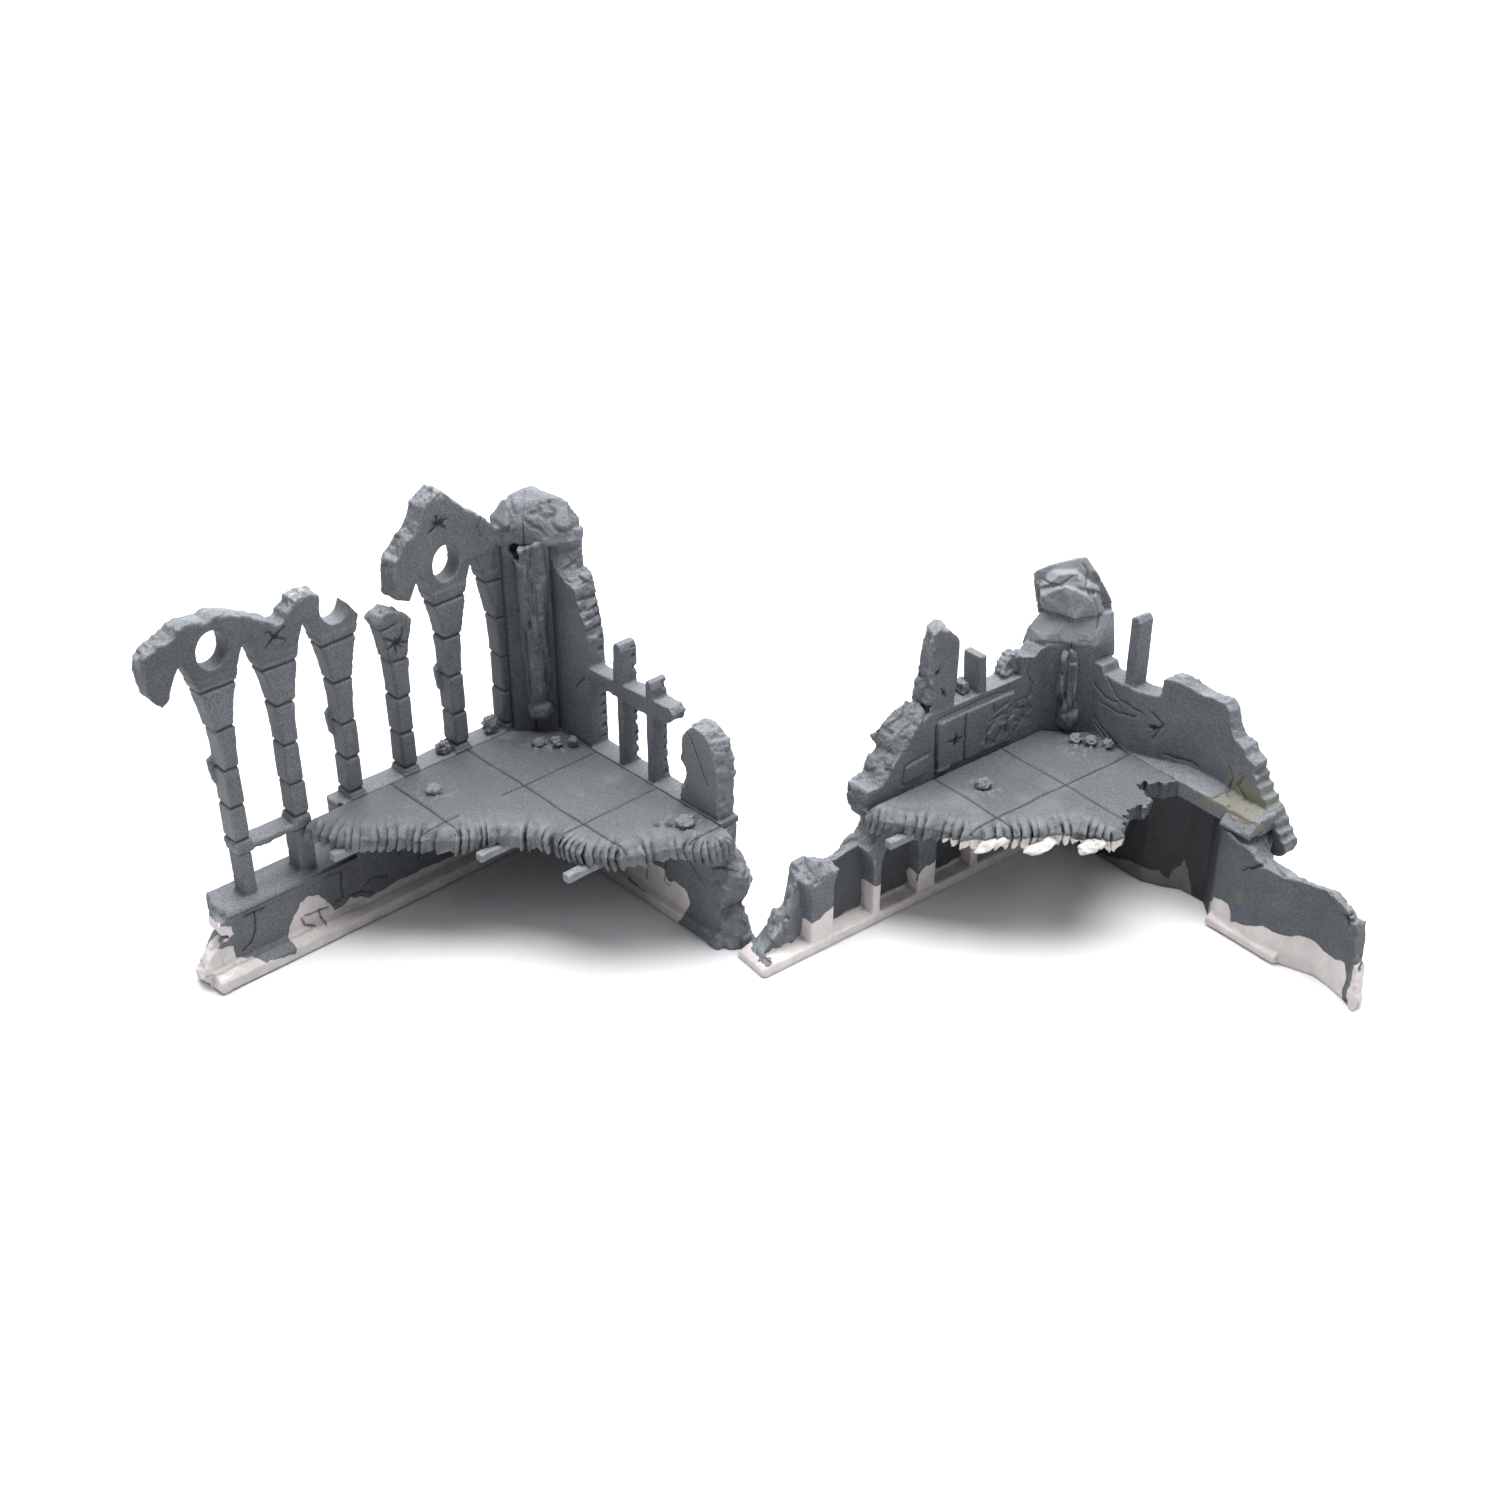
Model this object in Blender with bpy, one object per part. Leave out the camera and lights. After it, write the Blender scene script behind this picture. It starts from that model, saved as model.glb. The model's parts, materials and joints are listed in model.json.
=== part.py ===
"""Two free-standing ruined building corners in cast resin, scenery for 28 mm tabletop wargames.

Each ruin is a set of castings glued round one inner corner: two lower walls, a floor slab, two upper
walls, square rods under the slab, a worn corner figure and loose stones. A ruin is modelled in its own
frame, in millimetres: the inner corner of its floor is the origin, X runs along the front wall (on the
left, seen from the open side), Y along the side wall, and Z is up from the table.
"""

import math
import random

import bmesh
import bpy
from mathutils import Matrix, Vector

MM = 0.001
GAP = 0.3  # clearance between neighbouring castings

# Heights above the table
FLOOR_TOP = 70.0
SLAB_THICK = 9.7
LEDGE_TOP = FLOOR_TOP - SLAB_THICK - 2 * GAP
LEFT_STRIP = 4.0  # height of the strip at the foot of the left ruin's upper walls
RIGHT_STRIP = 9.7
UNDER_STRIP = FLOOR_TOP - LEFT_STRIP - GAP
LOW_SILL = 40.0  # sill under the left ruin's two outermost columns
WINDOW_SILL = 108.5  # sill of the right ruin's upper windows
ROD = 5.0

# Depths: 0 is the inner face of the upper walls, positive is into the room
WALL_BACK = -13.0
THICK_BACK = -20.0  # outer face of the left ruin's lower front wall
LEDGE_FACE = 7.0

# Arcade of the left ruin
COLUMN_PITCH = 34.0
FIRST_COLUMN = 17.5  # middle of the column nearest the corner
COLUMN_HALF = 3.9
SPRING = 112.0  # height at which the columns start to flare
APEX = 182.0  # height at which neighbouring flares meet
OCULUS = (8.3, 10.2)  # half the width and half the height
OCULUS_HEIGHT = 182.2

# Chamfered pilaster in the inner corner
CHAMFER = 18.5

# Where the ruins stand: place and turn of each inner corner, before the pair is centred
LEFT_PLACE, LEFT_TURN = (0.0, 0.0), math.radians(223.5)
RIGHT_PLACE, RIGHT_TURN = (293.0, 0.0), math.radians(218.4)

PRIMED = ((0.115, 0.125, 0.135), 0.75)
BARE_ROD = ((0.33, 0.35, 0.36), 0.7)
FILLER = ((0.8, 0.79, 0.77), 0.6)
STONE = ((0.2, 0.21, 0.22), 0.8)


# ---------------------------------------------------------------- shapes


def along_x(s, z, depth):
    return Vector((s, depth, z))


def along_y(s, z, depth):
    return Vector((depth, s, z))


def from_above(x, y, z):
    return Vector((x, y, z))


def facing_corner(w, z, depth):
    """w runs along the corner's chamfer, towards the side wall, and depth stands out from its face."""
    out = CHAMFER / 2 + depth / math.sqrt(2)
    return Vector((out - w / math.sqrt(2), out + w / math.sqrt(2), z))


def object_of(bm):
    """Turns a closed mesh into an object whose faces point outwards."""
    bmesh.ops.recalc_face_normals(bm, faces=bm.faces)
    if bm.calc_volume(signed=True) < 0:
        bmesh.ops.reverse_faces(bm, faces=bm.faces)
    mesh = bpy.data.meshes.new("shape")
    bm.to_mesh(mesh)
    bm.free()
    obj = bpy.data.objects.new("shape", mesh)
    bpy.context.collection.objects.link(obj)
    return obj


def lofted(sections, place):
    """A solid through closed outlines at several depths, all with the same number of points."""
    bm = bmesh.new()
    rings = [[bm.verts.new(place(a, b, depth) * MM) for a, b in outline] for depth, outline in sections]
    bm.faces.new(rings[0])
    bm.faces.new(rings[-1][::-1])
    for near, far in zip(rings, rings[1:]):
        for i in range(len(near)):
            j = (i + 1) % len(near)
            bm.faces.new((near[i], far[i], far[j], near[j]))
    return object_of(bm)


def prism(outline, near, far, place, far_outline=None):
    return lofted([(near, outline), (far, far_outline or outline)], place)


def block(a, b, near, far, place):
    """A box between two opposite corners of its outline."""
    return prism([a, (b[0], a[1]), b, (a[0], b[1])], near, far, place)


def run(profile, start, end, place):
    """A moulding: a profile of (depth, z) points carried along the wall."""
    return prism(profile, start, end, lambda depth, z, s: place(s, z, depth))


def evenly(points, count):
    """An open line given again by count points, evenly spaced along it."""
    lengths = [math.dist(a, b) for a, b in zip(points, points[1:])]
    found = []
    for i in range(count):
        left = sum(lengths) * i / (count - 1)
        k = 0
        while k < len(lengths) - 1 and left > lengths[k]:
            left -= lengths[k]
            k += 1
        t = min(1.0, left / lengths[k])
        (ax, ay), (bx, by) = points[k], points[k + 1]
        found.append((ax + (bx - ax) * t, ay + (by - ay) * t))
    return found


def broken_wall(edges, corners, place, count=18):
    """A wall whose broken edge changes through its thickness: (depth, edge) pairs, then the other corners."""
    return lofted([(depth, evenly(edge, count) + corners) for depth, edge in edges], place)


def lump(centre, radii, seed, points=20):
    """A faceted stone: the hull of jittered points spread evenly over an ellipsoid."""
    dice = random.Random(seed)
    bm = bmesh.new()
    for i in range(points):
        z = 1 - 2 * (i + 0.5) / points
        turn = i * math.pi * (3 - math.sqrt(5)) + dice.uniform(-0.25, 0.25)
        flat = math.sqrt(1 - z * z)
        size = dice.uniform(0.84, 1.06)
        spread = (flat * math.cos(turn), flat * math.sin(turn), z)
        bm.verts.new([(c + r * p * size) * MM for c, r, p in zip(centre, radii, spread)])
    hull = bmesh.ops.convex_hull(bm, input=bm.verts)
    bmesh.ops.delete(bm, geom=hull["geom_interior"], context="VERTS")
    return object_of(bm)


def boulder(corners):
    """An angular rock: the hull of its corners."""
    bm = bmesh.new()
    for corner in corners:
        bm.verts.new(Vector(corner) * MM)
    hull = bmesh.ops.convex_hull(bm, input=bm.verts)
    bmesh.ops.delete(bm, geom=hull["geom_interior"], context="VERTS")
    return object_of(bm)


def oval(s, z, radii, near, far, place, sides=28):
    turns = [2 * math.pi * i / sides for i in range(sides)]
    outline = [(s + radii[0] * math.cos(t), z + radii[1] * math.sin(t)) for t in turns]
    return prism(outline, near, far, place)


def combine(base, others, operation):
    """Applies one Boolean after another to base, and removes the other shapes."""
    for other in others:
        modifier = base.modifiers.new(operation.lower(), "BOOLEAN")
        modifier.operation = operation
        modifier.solver = "EXACT"
        modifier.object = other
        other.hide_render = True
        other.display_type = "WIRE"
        graph = bpy.context.evaluated_depsgraph_get()
        mesh = bpy.data.meshes.new_from_object(base.evaluated_get(graph))
        base.modifiers.clear()
        base.data = mesh
        bpy.data.objects.remove(other)
    return base


def united(shapes):
    """Each shape has to touch one of those before it."""
    return combine(shapes[0], shapes[1:], "UNION")


def without(base, cutters):
    return combine(base, cutters, "DIFFERENCE")


def crossed(base, other):
    return combine(base, [other], "INTERSECT")


def mitred(shape, place):
    """Cuts a wall along the vertical plane through the corner that it shares with the other wall."""
    reach, back = 120.0, GAP / 2 * math.sqrt(2)
    triangle = [(-reach, -reach - back), (reach, reach - back), (-reach, reach)]
    if place is along_y:
        triangle = [(y, x) for x, y in triangle]
    return without(shape, [prism(triangle, -10.0, 260.0, from_above)])


def material(name, colour, roughness):
    made = bpy.data.materials.get(name)
    if made is None:
        made = bpy.data.materials.new(name)
        made.use_nodes = True
        shader = made.node_tree.nodes["Principled BSDF"]
        shader.inputs["Base Color"].default_value = (*colour, 1.0)
        shader.inputs["Roughness"].default_value = roughness
        shader.inputs["Metallic"].default_value = 0.0
    return made


def finish(shape, name, look, frame):
    """Names a sub-part, gives it its material and stands it in its ruin's frame."""
    shape.name = name
    shape.data.name = name
    shape.data.materials.clear()
    shape.data.materials.append(material(name + "_finish", *look))
    shape.parent = frame
    return shape


# ---------------------------------------------------------------- what both ruins share


def corner_post(low, high, place):
    """One wall's share of the chamfered pilaster in the corner."""
    plan = [(WALL_BACK, WALL_BACK), (CHAMFER, WALL_BACK), (CHAMFER, 0), (0, CHAMFER)]
    if place is along_y:
        plan = [(y, x) for x, y in plan]
    return prism(plan, low, high, from_above)


def corner_figure(robe, corbel_middle, corbel_radii):
    """A worn draped shaft on a rounded corbel, in relief against the chamfer."""
    corbel = lump((0, 0, 0), corbel_radii, seed=5, points=60)
    corbel.data.transform(Matrix.Rotation(math.radians(135), 4, "Z"))
    corbel.data.transform(Matrix.Translation(facing_corner(*corbel_middle, 1.5) * MM))
    middle = corbel_middle[0]
    front = [(middle + 0.6 * (w - middle), z) for w, z in robe]
    body = prism(robe, GAP, 5.2, facing_corner, front)
    tall = robe[0][1] + 4, max(z for _, z in robe) - 6
    fold = [(middle - 2.2, tall[0]), (middle + 0.6, tall[0]), (middle + 1.0, tall[1]), (middle - 1.4, tall[1])]
    backing = block((-30, 40), (30, 220), -30.0, GAP, facing_corner)
    return without(united([body, corbel, prism(fold, 2.0, 6.4, facing_corner)]), [backing])


def lower_bands(start, end, face, back, place):
    """Inner and outer plinths and the outer string course of a lower wall, each weathered on top."""
    inner = [(LEDGE_FACE - 2, 0), (face, 0), (face, 7), (LEDGE_FACE - 2, 10.5)]
    outer = [(back + 2, 0), (back - 2.5, 0), (back - 2.5, 7), (back + 2, 10)]
    string = [(back + 2, 51), (back - 2, 53), (back - 2, 56), (back + 2, 58)]
    return [run(inner, start, end, place), run(outer, start, end - 16, place),
            run(string, start, min(end, 125.0), place)]


def slab_seat(place):
    """The space that the floor slab takes over a lower wall."""
    return block((-60, LEDGE_TOP), (260, 120), 0.0, 60.0, place)


def slab(outline):
    """A floor slab broken on its open side; its underside breaks off a little further in."""
    middle = Vector((45.0, 45.0))
    under = []
    for x, y in outline:
        pull = 0.0 if min(x, y) < 1 else 2.0
        inward = (middle - Vector((x, y))).normalized() * pull
        under.append((x + inward.x, y + inward.y))
    return prism(outline, FLOOR_TOP, FLOOR_TOP - SLAB_THICK, from_above, under)


def rod(across, end):
    """A square rod under the slab, from the side wall's face to its cut end past the broken edge."""
    top = LEDGE_TOP + GAP
    section = [(across - ROD / 2, top - ROD), (across + ROD / 2, top - ROD),
               (across + ROD / 2, top), (across - ROD / 2, top)]
    return prism(section, LEDGE_FACE + GAP, end, lambda y, z, x: Vector((x, y, z)))


def rested_stone(centre, radii, seed):
    """A stone with a flat foot just above the floor."""
    foot = FLOOR_TOP + GAP
    under = block((-60, foot - 40), (260, foot), -60.0, 260.0, along_x)
    return without(lump(centre, radii, seed, points=24), [under])


# ---------------------------------------------------------------- the rocks on the corners

LEFT_CAP = [
    (18.6, 0.2, 184.2), (9.4, 10.4, 184.2), (-0.5, 20.2, 183.5), (-9.5, 27.5, 184.5), (16.5, 3.0, 194),
    (8.2, 7.5, 197), (1.5, 14, 197), (-7, 24, 193), (10, 0, 202.5), (0, 5, 204), (-8, 13, 204.5),
    (-14.5, 18.5, 203), (9, -7, 204), (-1, -3, 207), (-9.5, 6, 205.8), (-10, -9, 204), (18.2, -6, 188.7),
    (16.6, -6.6, 195), (14, -14, 193), (14, -14, 184), (-17, 25, 195.4), (-16.3, 26.3, 180),
    (-14.8, 27, 169), (-16, 0, 195), (-14, -14, 192), (-14, -14, 180)]

RIGHT_CAP = [
    # the collar
    [(21, -15.5, 111), (21.5, -15.5, 119), (19.5, -14, 128.5), (15, -10.5, 136.5), (19.5, -2.2, 124.5),
     (10.7, 8.4, 125), (7.5, 11.6, 123), (-0.5, 18.8, 123), (-3.5, 17.5, 125), (10.5, 2.5, 136), (-1, 13, 137.5),
     (-9, 17, 134), (-13.6, 19.6, 122.7), (-15.5, 19.5, 112.5), (-14.5, 16.5, 139), (-14.5, -14.5, 112),
     (-14, -14, 136), (18.5, -2, 119), (-1, 17.5, 116)],
    # the back and top
    [(17.5, -15.5, 159.7), (17.4, -13.4, 152.7), (16.2, -12.2, 143.8), (11, -11, 163.6), (4, -7, 165.4),
     (-5.6, 1.6, 168.7), (-7.4, 7.4, 161.5), (-12.2, 12.2, 150.5), (-14.6, 14.6, 143.5), (-15.5, 15.5, 132),
     (-13, -13, 160), (-14, -14, 134), (8, -17, 150), (14, -13, 135)],
    # the middle step
    [(14.5, -5.5, 156), (10.4, -3.4, 160.4), (3.6, 2.4, 161.8), (1, 8, 154.2), (-7.4, 11.4, 151.7),
     (16.5, -11, 152), (-8, -8, 162), (10, -12, 161.5), (-5, -12, 142), (12, -12, 142), (-10, 10, 140)],
    # the front block
    [(18.5, -7.5, 148.2), (17, -5, 142), (9.1, 9, 138.4), (-3.3, 15.3, 139.4), (11, 2, 156), (-0.5, 12.5, 149),
     (16.4, -10.4, 150.6), (13, -12, 138), (-10, 14, 139), (-8, 10, 150), (-5, -5, 152), (-8, -10, 136),
     (8, 4, 134), (-1, 10, 134)]]


# ---------------------------------------------------------------- left ruin


def left_lower_front():
    step = 128.0
    inner_end = [(219, 0), (222, 4), (222.5, 10), (218, 19), (212, 25), (205, 27), (211, 30), (211, 35),
                 (206, 38), (204, LOW_SILL)]
    middle_end = [(222, 0), (221, 6), (218.5, 11), (215, 16.5), (208, 18.5), (204, 22), (209, 26),
                  (210.5, 31), (208, 36), (206.5, LOW_SILL)]
    outer_end = [(206, 0), (205, 6), (204, 11), (201, 17), (198, 20), (197, 24), (202, 28), (204, 32),
                 (204, 37), (203, LOW_SILL)]
    corners = [(step, LOW_SILL), (step, UNDER_STRIP), (WALL_BACK, UNDER_STRIP), (WALL_BACK, 0)]
    ends = ((5.0, inner_end), (-8.0, middle_end), (THICK_BACK, outer_end))
    wall = lofted([(depth, end + corners) for depth, end in ends], along_x)
    shapes = [wall, block((WALL_BACK, 0.5), (step, UNDER_STRIP), 3.0, LEDGE_FACE, along_x)]
    lip = [(3.0, 33), (6.3, 36.5), (6.3, 39), (3.0, LOW_SILL)]
    shapes.append(run(lip, step - 1, 206.0, along_x))
    for number, wide in ((1, 3.7), (2, 5.0)):
        middle = column_middle(number)
        shapes.append(block((middle - wide, LOW_SILL - 2), (middle + wide, UNDER_STRIP), -12.6, -1.4, along_x))
    shapes += lower_bands(WALL_BACK, 219.0, 13.0, THICK_BACK, along_x)
    return mitred(without(united(shapes), [slab_seat(along_x)]), along_x)


def left_lower_side():
    inner_end = [(160, 0), (157, 7), (154, 19), (156, 26), (160, 33), (162, 45), (161, 54), (157, 58),
                 (151, 62), (150, UNDER_STRIP)]
    middle_end = [(169, 0), (170, 8), (167, 18), (158, 24), (161, 30), (167, 38), (168, 48), (163, 55),
                  (154, 60), (150, UNDER_STRIP)]
    outer_end = [(162, 0), (161, 4), (157, 10), (150, 15), (154, 23), (160, 36), (158, 41), (151, 44),
                 (147, 50), (148, UNDER_STRIP)]
    corners = [(WALL_BACK, UNDER_STRIP), (WALL_BACK, 0)]
    ends = ((LEDGE_FACE, inner_end), (-2.0, middle_end), (WALL_BACK, outer_end))
    wall = lofted([(depth, end + corners) for depth, end in ends], along_y)
    shapes = [wall] + lower_bands(WALL_BACK, 158.0, 10.5, WALL_BACK, along_y)
    return mitred(without(united(shapes), [slab_seat(along_y)]), along_y)


def flare(height):
    """Half the width of an arcade column, which opens into pointed arches above its springing."""
    rise = max(0.0, (height - SPRING) / (APEX - SPRING))
    return COLUMN_HALF + (COLUMN_PITCH / 2 - COLUMN_HALF + 0.3) * rise**2.5


def column_outline(middle, foot, top):
    heights = [foot, SPRING] + [SPRING + (top - SPRING) * i / 9 for i in range(1, 10)]
    left = [(middle + flare(z), z) for z in heights]
    right = [(middle - flare(z), z) for z in reversed(heights)]
    return left + right


def column_middle(number):
    """Columns are counted from the outer end: 1 is the last one, 6 the one in the corner."""
    return FIRST_COLUMN + (6 - number) * COLUMN_PITCH


def broken_column(middle):
    top = [(middle + 11, 162.5), (middle + 8.5, 166), (middle + 2.5, 168), (middle - 4.5, 163.5),
           (middle - 9.5, 158.5), (middle - 9, 154.5), (middle - 7.2, 150)]
    left = column_outline(middle, FLOOR_TOP - 1, 158.0)[:11]
    right = [(middle - flare(z), z) for z in (143, 130, SPRING, FLOOR_TOP - 1)]
    return left + top + right


def left_upper_front():
    near, far = -1.4, -12.6

    def column(number):
        return prism(column_outline(column_middle(number), FLOOR_TOP - 1, APEX), near, far, along_x)

    def lug(number):
        middle = column_middle(number)
        return prism([(middle, 104), (middle + 5.4, 106), (middle + 7, 119), (middle, 121)],
                     -10.0, -14.0, along_x)

    long_head = [
        (213.6, 163.5), (217, 162), (222, 168), (223, 180), (220, 191), (213, 194), (206, 195.5),
        (203, 199), (196, 199.5), (188, 197.5), (184, 199), (175, 197), (165, 191.5), (156, 186),
        (152, 182.5), (148, 183), (146, 187), (142, 189), (141, 192.5), (134, 193.5), (127, 191),
        (126.5, 180), (205.2, 180), (207.5, 177), (209.8, 173), (211.9, 168)]
    tall_head = [
        (85, 173), (84, 186), (82, 194), (78, 197), (75, 201), (69.5, 205), (66, 210), (63, 217.5),
        (57.5, 221), (53, 224), (47, 219), (40, 212), (37, 206.5), (27, 202), (21, 195), (16, 188),
        (15, 179.5), (69.2, 179.5), (71.5, 176.5), (75.5, 168.5)]
    wall = united([
        block((WALL_BACK, FLOOR_TOP - LEFT_STRIP), (129, FLOOR_TOP), -GAP, WALL_BACK, along_x),
        prism([(127, 66), (131, 67), (133, 69), (131, FLOOR_TOP), (127, FLOOR_TOP)],
              -3.0, WALL_BACK + 1, along_x),
        corner_post(FLOOR_TOP - LEFT_STRIP, 183.0, along_x),
        column(6), column(5), prism(tall_head, -1.0, WALL_BACK, along_x),
        prism(broken_column(column_middle(4)), near, far, along_x),
        column(3), prism(long_head, -1.0, WALL_BACK, along_x), column(2), column(1),
        block((148, FLOOR_TOP - LEFT_STRIP), (191.5, FLOOR_TOP), -1.0, WALL_BACK, along_x),
        lug(1), lug(3), lug(5),
        boulder(LEFT_CAP)])
    oculi = [oval(column_middle(n), OCULUS_HEIGHT, OCULUS, 5.0, -20.0, along_x) for n in (1, 3, 5)]
    chip = prism([(114.5, 185), (105, 170.5), (98, 170.5), (98, 190), (114.5, 190)], 5.0, -20.0, along_x)
    return mitred(without(wall, oculi + [chip]), along_x)


def left_upper_side():
    pier_front = [(45, 135), (44.5, 146), (40.5, 150.5), (38.5, 157.5), (37.5, 162.5), (27, 166), (22, 169),
                  (16, 178.5), (15, 184)]
    pier_back = [(45, 135), (43.8, 141), (43, 149), (40.9, 154), (39.6, 159.5), (37.2, 169.6), (30, 171),
                 (29, 182), (15, 184)]
    pier = broken_wall([(-0.6, pier_front), (WALL_BACK, pier_back)],
                       [(8, 184), (8, FLOOR_TOP - 1), (45, FLOOR_TOP - 1)], along_y, count=14)
    rail = [(44, 111), (70, 110), (98, 109.6), (106, 111), (110, 113.5), (112, 117.5), (109, 121),
            (75, 119.5), (44, 118.5)]
    first = [(67.9, FLOOR_TOP - 1), (72.5, FLOOR_TOP - 1), (72.5, 139), (71, 142.5), (68, 143.5),
             (65.8, 141), (65.4, 119.5), (67.9, 119)]
    second = [(91.5, FLOOR_TOP - 1), (96.5, FLOOR_TOP - 1), (96.5, 126.5), (95, 130), (92.5, 131),
              (91.2, 129)]
    fragment_front = [(145.6, FLOOR_TOP - 1), (146.6, 83.5), (146, 98.5), (143, 108), (139.5, 113.5),
                      (135, 118.5), (128.5, 119), (124.5, 115.5), (119, 110), (118.6, 95), (122, 90.5),
                      (120.4, 77.5), (117.2, 79), (117, FLOOR_TOP - 1)]
    fragment_back = [(145.6, FLOOR_TOP - 1), (148, 79), (146.3, 88), (148, 97.5), (146.5, 107.5),
                     (143, 114.5), (138.5, 119), (131.5, 120.2), (125.5, 118.8), (119.5, 114.3),
                     (118, 95), (121, 90.5), (118, 78), (117, FLOOR_TOP - 1)]
    return mitred(united([
        block((WALL_BACK, FLOOR_TOP - LEFT_STRIP), (149, FLOOR_TOP), -GAP, WALL_BACK, along_y),
        pier,
        prism(rail, -1.8, -12.0, along_y),
        prism(first, -1.2, -12.4, along_y),
        prism(second, -1.2, -12.4, along_y),
        prism(fragment_front, -0.8, -12.2, along_y, fragment_back),
        corner_post(FLOOR_TOP - LEFT_STRIP, 183.0, along_y),
        boulder(LEFT_CAP)]), along_y)


def left_ruin(frame):
    def add(shape, name, look=PRIMED):
        finish(shape, "left_" + name, look, frame)

    add(left_lower_front(), "lower_front_wall")
    add(left_lower_side(), "lower_side_wall")
    add(left_upper_front(), "arcade_wall")
    add(left_upper_side(), "upper_side_wall")
    add(slab([(CHAMFER + 1.2, GAP), (154, GAP), (153, 8), (146, 22), (135, 33), (123, 42), (111, 59),
              (102, 65), (85, 76), (75, 87), (70, 98), (66, 117), (54.5, 134), (39.5, 139.5), (26, 147),
              (20, 158), (13, 162.5), (5, 163), (GAP, 160), (GAP, CHAMFER + 1.2)]), "floor_slab")
    for number, (across, end) in enumerate(((21.0, 152.0), (73.0, 98.0), (118.0, 77.0)), 1):
        add(rod(across, end), f"floor_rod_{number}", BARE_ROD)
    robe = [(7.2, 88), (-3.2, 88), (-3.6, 100), (-4.8, 139), (-5.5, 160), (-7.6, 176), (-7.2, 182.4), (8.4, 182.4),
            (9.2, 170), (11, 151), (11.8, 121), (9, 96)]
    add(corner_figure(robe, (3.5, 84.0), (7.6, 6.5, 7.0)), "corner_figure")
    stones = {
        "stone_by_fifth_column": ((61.5, -6.0, 73.2), (5.0, 4.0, 4.6)),
        "stone_by_sixth_column": ((28.5, -6.5, 74.5), (5.6, 5.0, 6.2)),
        "stone_on_tiles": ((88, 23, 71.6), (6.0, 4.4, 2.6)),
        "corner_stone_a": ((19, 25, 72.4), (4.6, 3.8, 3.0)),
        "corner_stone_b": ((13, 31.5, 72.6), (3.8, 3.4, 3.4)),
        "corner_stone_c": ((5.8, 37.5, 72.9), (3.4, 3.2, 3.6)),
        "stone_at_edge": ((13, 137, 72.3), (7.0, 5.6, 3.2)),
    }
    for seed, (name, (centre, radii)) in enumerate(stones.items(), 31):
        add(rested_stone(centre, radii, seed), name, STONE)


# ---------------------------------------------------------------- right ruin

PILASTERS = ((175, 190), (142, 147), (102, 115), (70, 75), (36, 43))
NICHE_BACK = 1.5
NICHE_SPRING = 34.0


def niche(start, end):
    """A blind pointed recess between two pilasters of the right ruin's lower front wall."""
    width, middle = end - start, (start + end) / 2
    left = [(start, 6), (start, NICHE_SPRING)]
    for i in range(1, 6):
        turn = math.radians(15 * i)
        left.append((start + 0.675 * width * (1 - math.cos(turn)), NICHE_SPRING + 0.72 * width * math.sin(turn)))
    right = [(2 * middle - s, z) for s, z in reversed(left[:-1])]
    return prism(left + right, NICHE_BACK, 20.0, along_x)


def right_lower_front():
    front = [(222.5, 0), (223, 4), (217, 8), (213, 13), (205, 18), (200, 22), (197, 36), (193.6, 45),
             (188, 42), (182, 44), (176, 46), (167, 47), (160, 48), (152, 48.5), (147, 52), (141, LEDGE_TOP)]
    recess = [(222, 0), (222, 4), (214, 10), (208, 15), (202, 20), (199.5, 25), (197, 37), (193.6, 45),
              (190, 47), (182.5, 51.5), (177, 49), (167, 47), (160, 48), (152, 48.5), (146, 52), (140, LEDGE_TOP)]
    back = [(221.5, 0), (221, 3), (207, 8), (203, 13), (199, 18), (191, 22), (188.6, 32), (187.4, 42),
            (185, 45), (178.7, 46.7), (173, 43), (165, 38), (156, 36), (150, 44), (141, 47), (136, LEDGE_TOP)]
    corners = [(WALL_BACK, LEDGE_TOP), (WALL_BACK, 0)]
    edges = ((9.7, front), (NICHE_BACK, recess), (WALL_BACK, back))
    wall = lofted([(depth, edge + corners) for depth, edge in edges], along_x)
    gaps = [(end, start) for (start, _), (_, end) in zip(PILASTERS, PILASTERS[1:])]
    wall = without(wall, [niche(*sides) for sides in [(190, 216)] + gaps])
    return mitred(united([wall, block((WALL_BACK, 0), (221, 5.5), 5.0, 10.5, along_x)]), along_x)


def right_lower_side():
    plan = [(WALL_BACK, WALL_BACK), (WALL_BACK, 50), (-25, 76), (-25, 134), (-12, 136), (-5.5, 150),
            (-4.5, 166), (-8, 184), (-7.5, 196), (-5.5, 206), (-2.5, 213), (7.6, 215.6), (3, 206), (0, 194),
            (-1, 184), (5, 167), (7, 151), (6, 125), (2, 117), (-7, 106), (-6, 91), (-1, 84), (5, 72),
            (5.5, 20), (5.5, WALL_BACK)]
    front = [(217, 0), (213, 12), (209, 26), (206.5, 38), (203, 45.5), (196, 53.5), (189.5, 54.5), (183, 55.6),
             (174, 53.7), (165, 53), (155.5, 52.5), (147, 53), (140, 57.5), (132, 58.8), (126, LEDGE_TOP)]
    back = [(212, 0), (209.5, 13), (208, 25), (207, 37), (205, 44), (199, 43), (192.4, 47), (185.6, 50.7),
            (179.5, 50.3), (167.5, 48.5), (161, 48.2), (154.5, 49), (145, 50), (138, 54), (130, LEDGE_TOP)]
    corners = [(-60, LEDGE_TOP), (-60, 0)]
    broken = lofted([(30.0, front + corners), (3.0, front + corners), (-7.0, back + corners),
                     (-60.0, back + corners)], along_y)
    wall = crossed(prism(plan, 0.0, 80.0, from_above), broken)
    plinth = run([(3.0, 1), (8.6, 1), (8.6, 5), (3.0, 8)], 120.0, 166.0, along_y)
    return mitred(united([wall, plinth]), along_y)


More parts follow.
